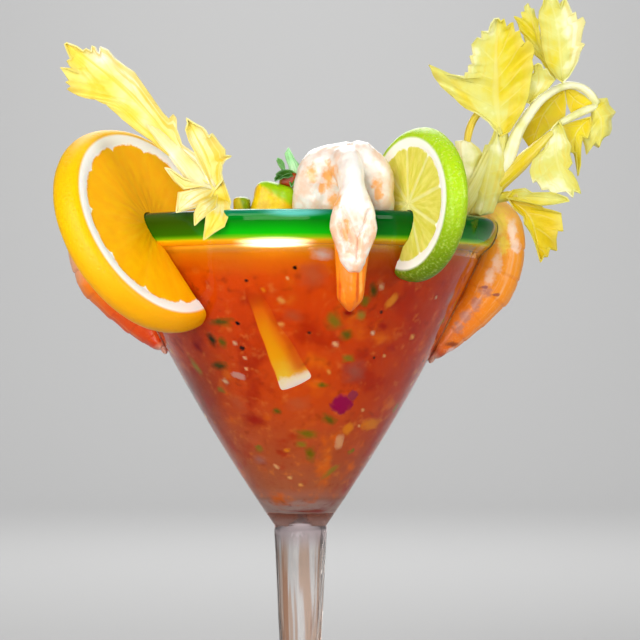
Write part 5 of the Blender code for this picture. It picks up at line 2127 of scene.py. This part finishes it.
# ---- the studio
@dataclass
class Studio:
    """Camera, lights, floor and backdrop."""

    camera_x: float = 6.35
    camera_z: float = 136.0
    distance: float = 700.0
    frame_width: float = 208.4
    sensor: float = 36.0
    pitch: float = 0.80
    floor_half: float = 2200.0
    floor_back: float = 1200.0
    curve_radius: float = 900.0
    wall_top: float = 3200.0
    lamps: Sequence[tuple] = (
        ((-420, -760, 620), (0, 0, 160), 420, 4.0, (1.0, 0.99, 0.97)),
        ((-200, -900, 80), (0, 0, 130), 600, 7.4, (1.0, 0.99, 0.97)),
        ((700, -460, 340), (0, 0, 160), 420, 3.0, (1.0, 0.99, 0.98)),
        ((0, 700, 650), (0, 0, 160), 600, 3.0, (1.0, 1.0, 1.0)),
        ((0, 1100, 1500), (0, 2000, 150), 1400, 28.0, (1.0, 1.0, 1.0)),
    )
    surround: float = 0.14

    def camera(self) -> None:
        """A camera at the photo's angle."""
        bpy.ops.object.camera_add(
            location=Vector((self.camera_x, -self.distance, self.camera_z)) * MM,
            rotation=(math.radians(90.0 + self.pitch), 0.0, 0.0),
        )
        camera = bpy.context.active_object
        camera.data.sensor_width = self.sensor
        camera.data.lens = self.sensor * self.distance / self.frame_width
        camera.data.clip_start = 10 * MM
        bpy.context.scene.camera = camera

    def floor(self) -> None:
        """A pale floor that curves up into a pale wall."""
        half, radius, back = self.floor_half, self.curve_radius, self.floor_back
        arc = [math.radians(90.0 * i / 24) for i in range(25)]
        line = [(-half, 0.0)] + [
            (back + radius * math.sin(a), radius * (1 - math.cos(a))) for a in arc
        ]
        line.append((back + radius, self.wall_top))

        def rule(point: Vector) -> Marked:
            """Bends the sheet along the line."""
            y, z = line[round((point.y + 0.5) * (len(line) - 1))]
            return Vector((point.x * 2 * half * 1.6, y, z)), {}

        obj = BENCH.sheet("backdrop", 1, len(line) - 1, rule)
        bpy.ops.object.shade_smooth()
        painter = Painter("backdrop", Base_Color=(0.42, 0.42, 0.42, 1.0), Roughness=0.8)
        obj.data.materials.append(painter.material)

    def lamp(self, place: tuple, aim: tuple, size: float, power: float, colour: tuple) -> None:
        """Adds a soft area lamp, which isn't seen through the glass if it stands behind it.

        Args:
            place: Where it stands, in millimetres.
            aim: The point it lights.
            size: Its side, in millimetres.
            power: Watts.
            colour: Its light's colour.
        """
        way = Vector(aim) - Vector(place)
        turn = way.to_track_quat("-Z", "Y").to_euler()
        bpy.ops.object.light_add(type="AREA", location=Vector(place) * MM, rotation=turn)
        bpy.context.active_object.visible_transmission = place[1] < 0
        lamp = bpy.context.active_object.data
        lamp.size = size * MM
        lamp.energy = power
        lamp.color = colour

    def build(self) -> None:
        """Sets up the studio."""
        self.camera()
        self.floor()
        for lamp in self.lamps:
            self.lamp(*lamp)
        world = bpy.data.worlds.new("studio")
        world.use_nodes = True
        background = world.node_tree.nodes["Background"]
        background.inputs[0].default_value = WHITE
        background.inputs[1].default_value = self.surround
        bpy.context.scene.world = world
        bpy.context.scene.view_settings.view_transform = "Standard"


def main() -> None:
    """Builds every piece and reports it."""
    logging.basicConfig(level=logging.INFO, format="%(relativeCreated)6d ms  %(message)s")
    glass = Glass()
    glass.build()
    room = glass.room(0.3)
    Sauce().build()
    for wheel in (ORANGE, LIME):
        wheel.build(room)
    for side in Side:
        SideShrimp(side).build(room)
    FrontShrimp().build(room)
    for sprig in (RIGHT_SPRIG, LEFT_SPRIG, CILANTRO_SPRIG):
        sprig.build()
    for chunk in CHUNKS:
        chunk.build()
    bpy.data.objects.remove(room)
    Studio().build()


if __name__ == "__main__":
    main()
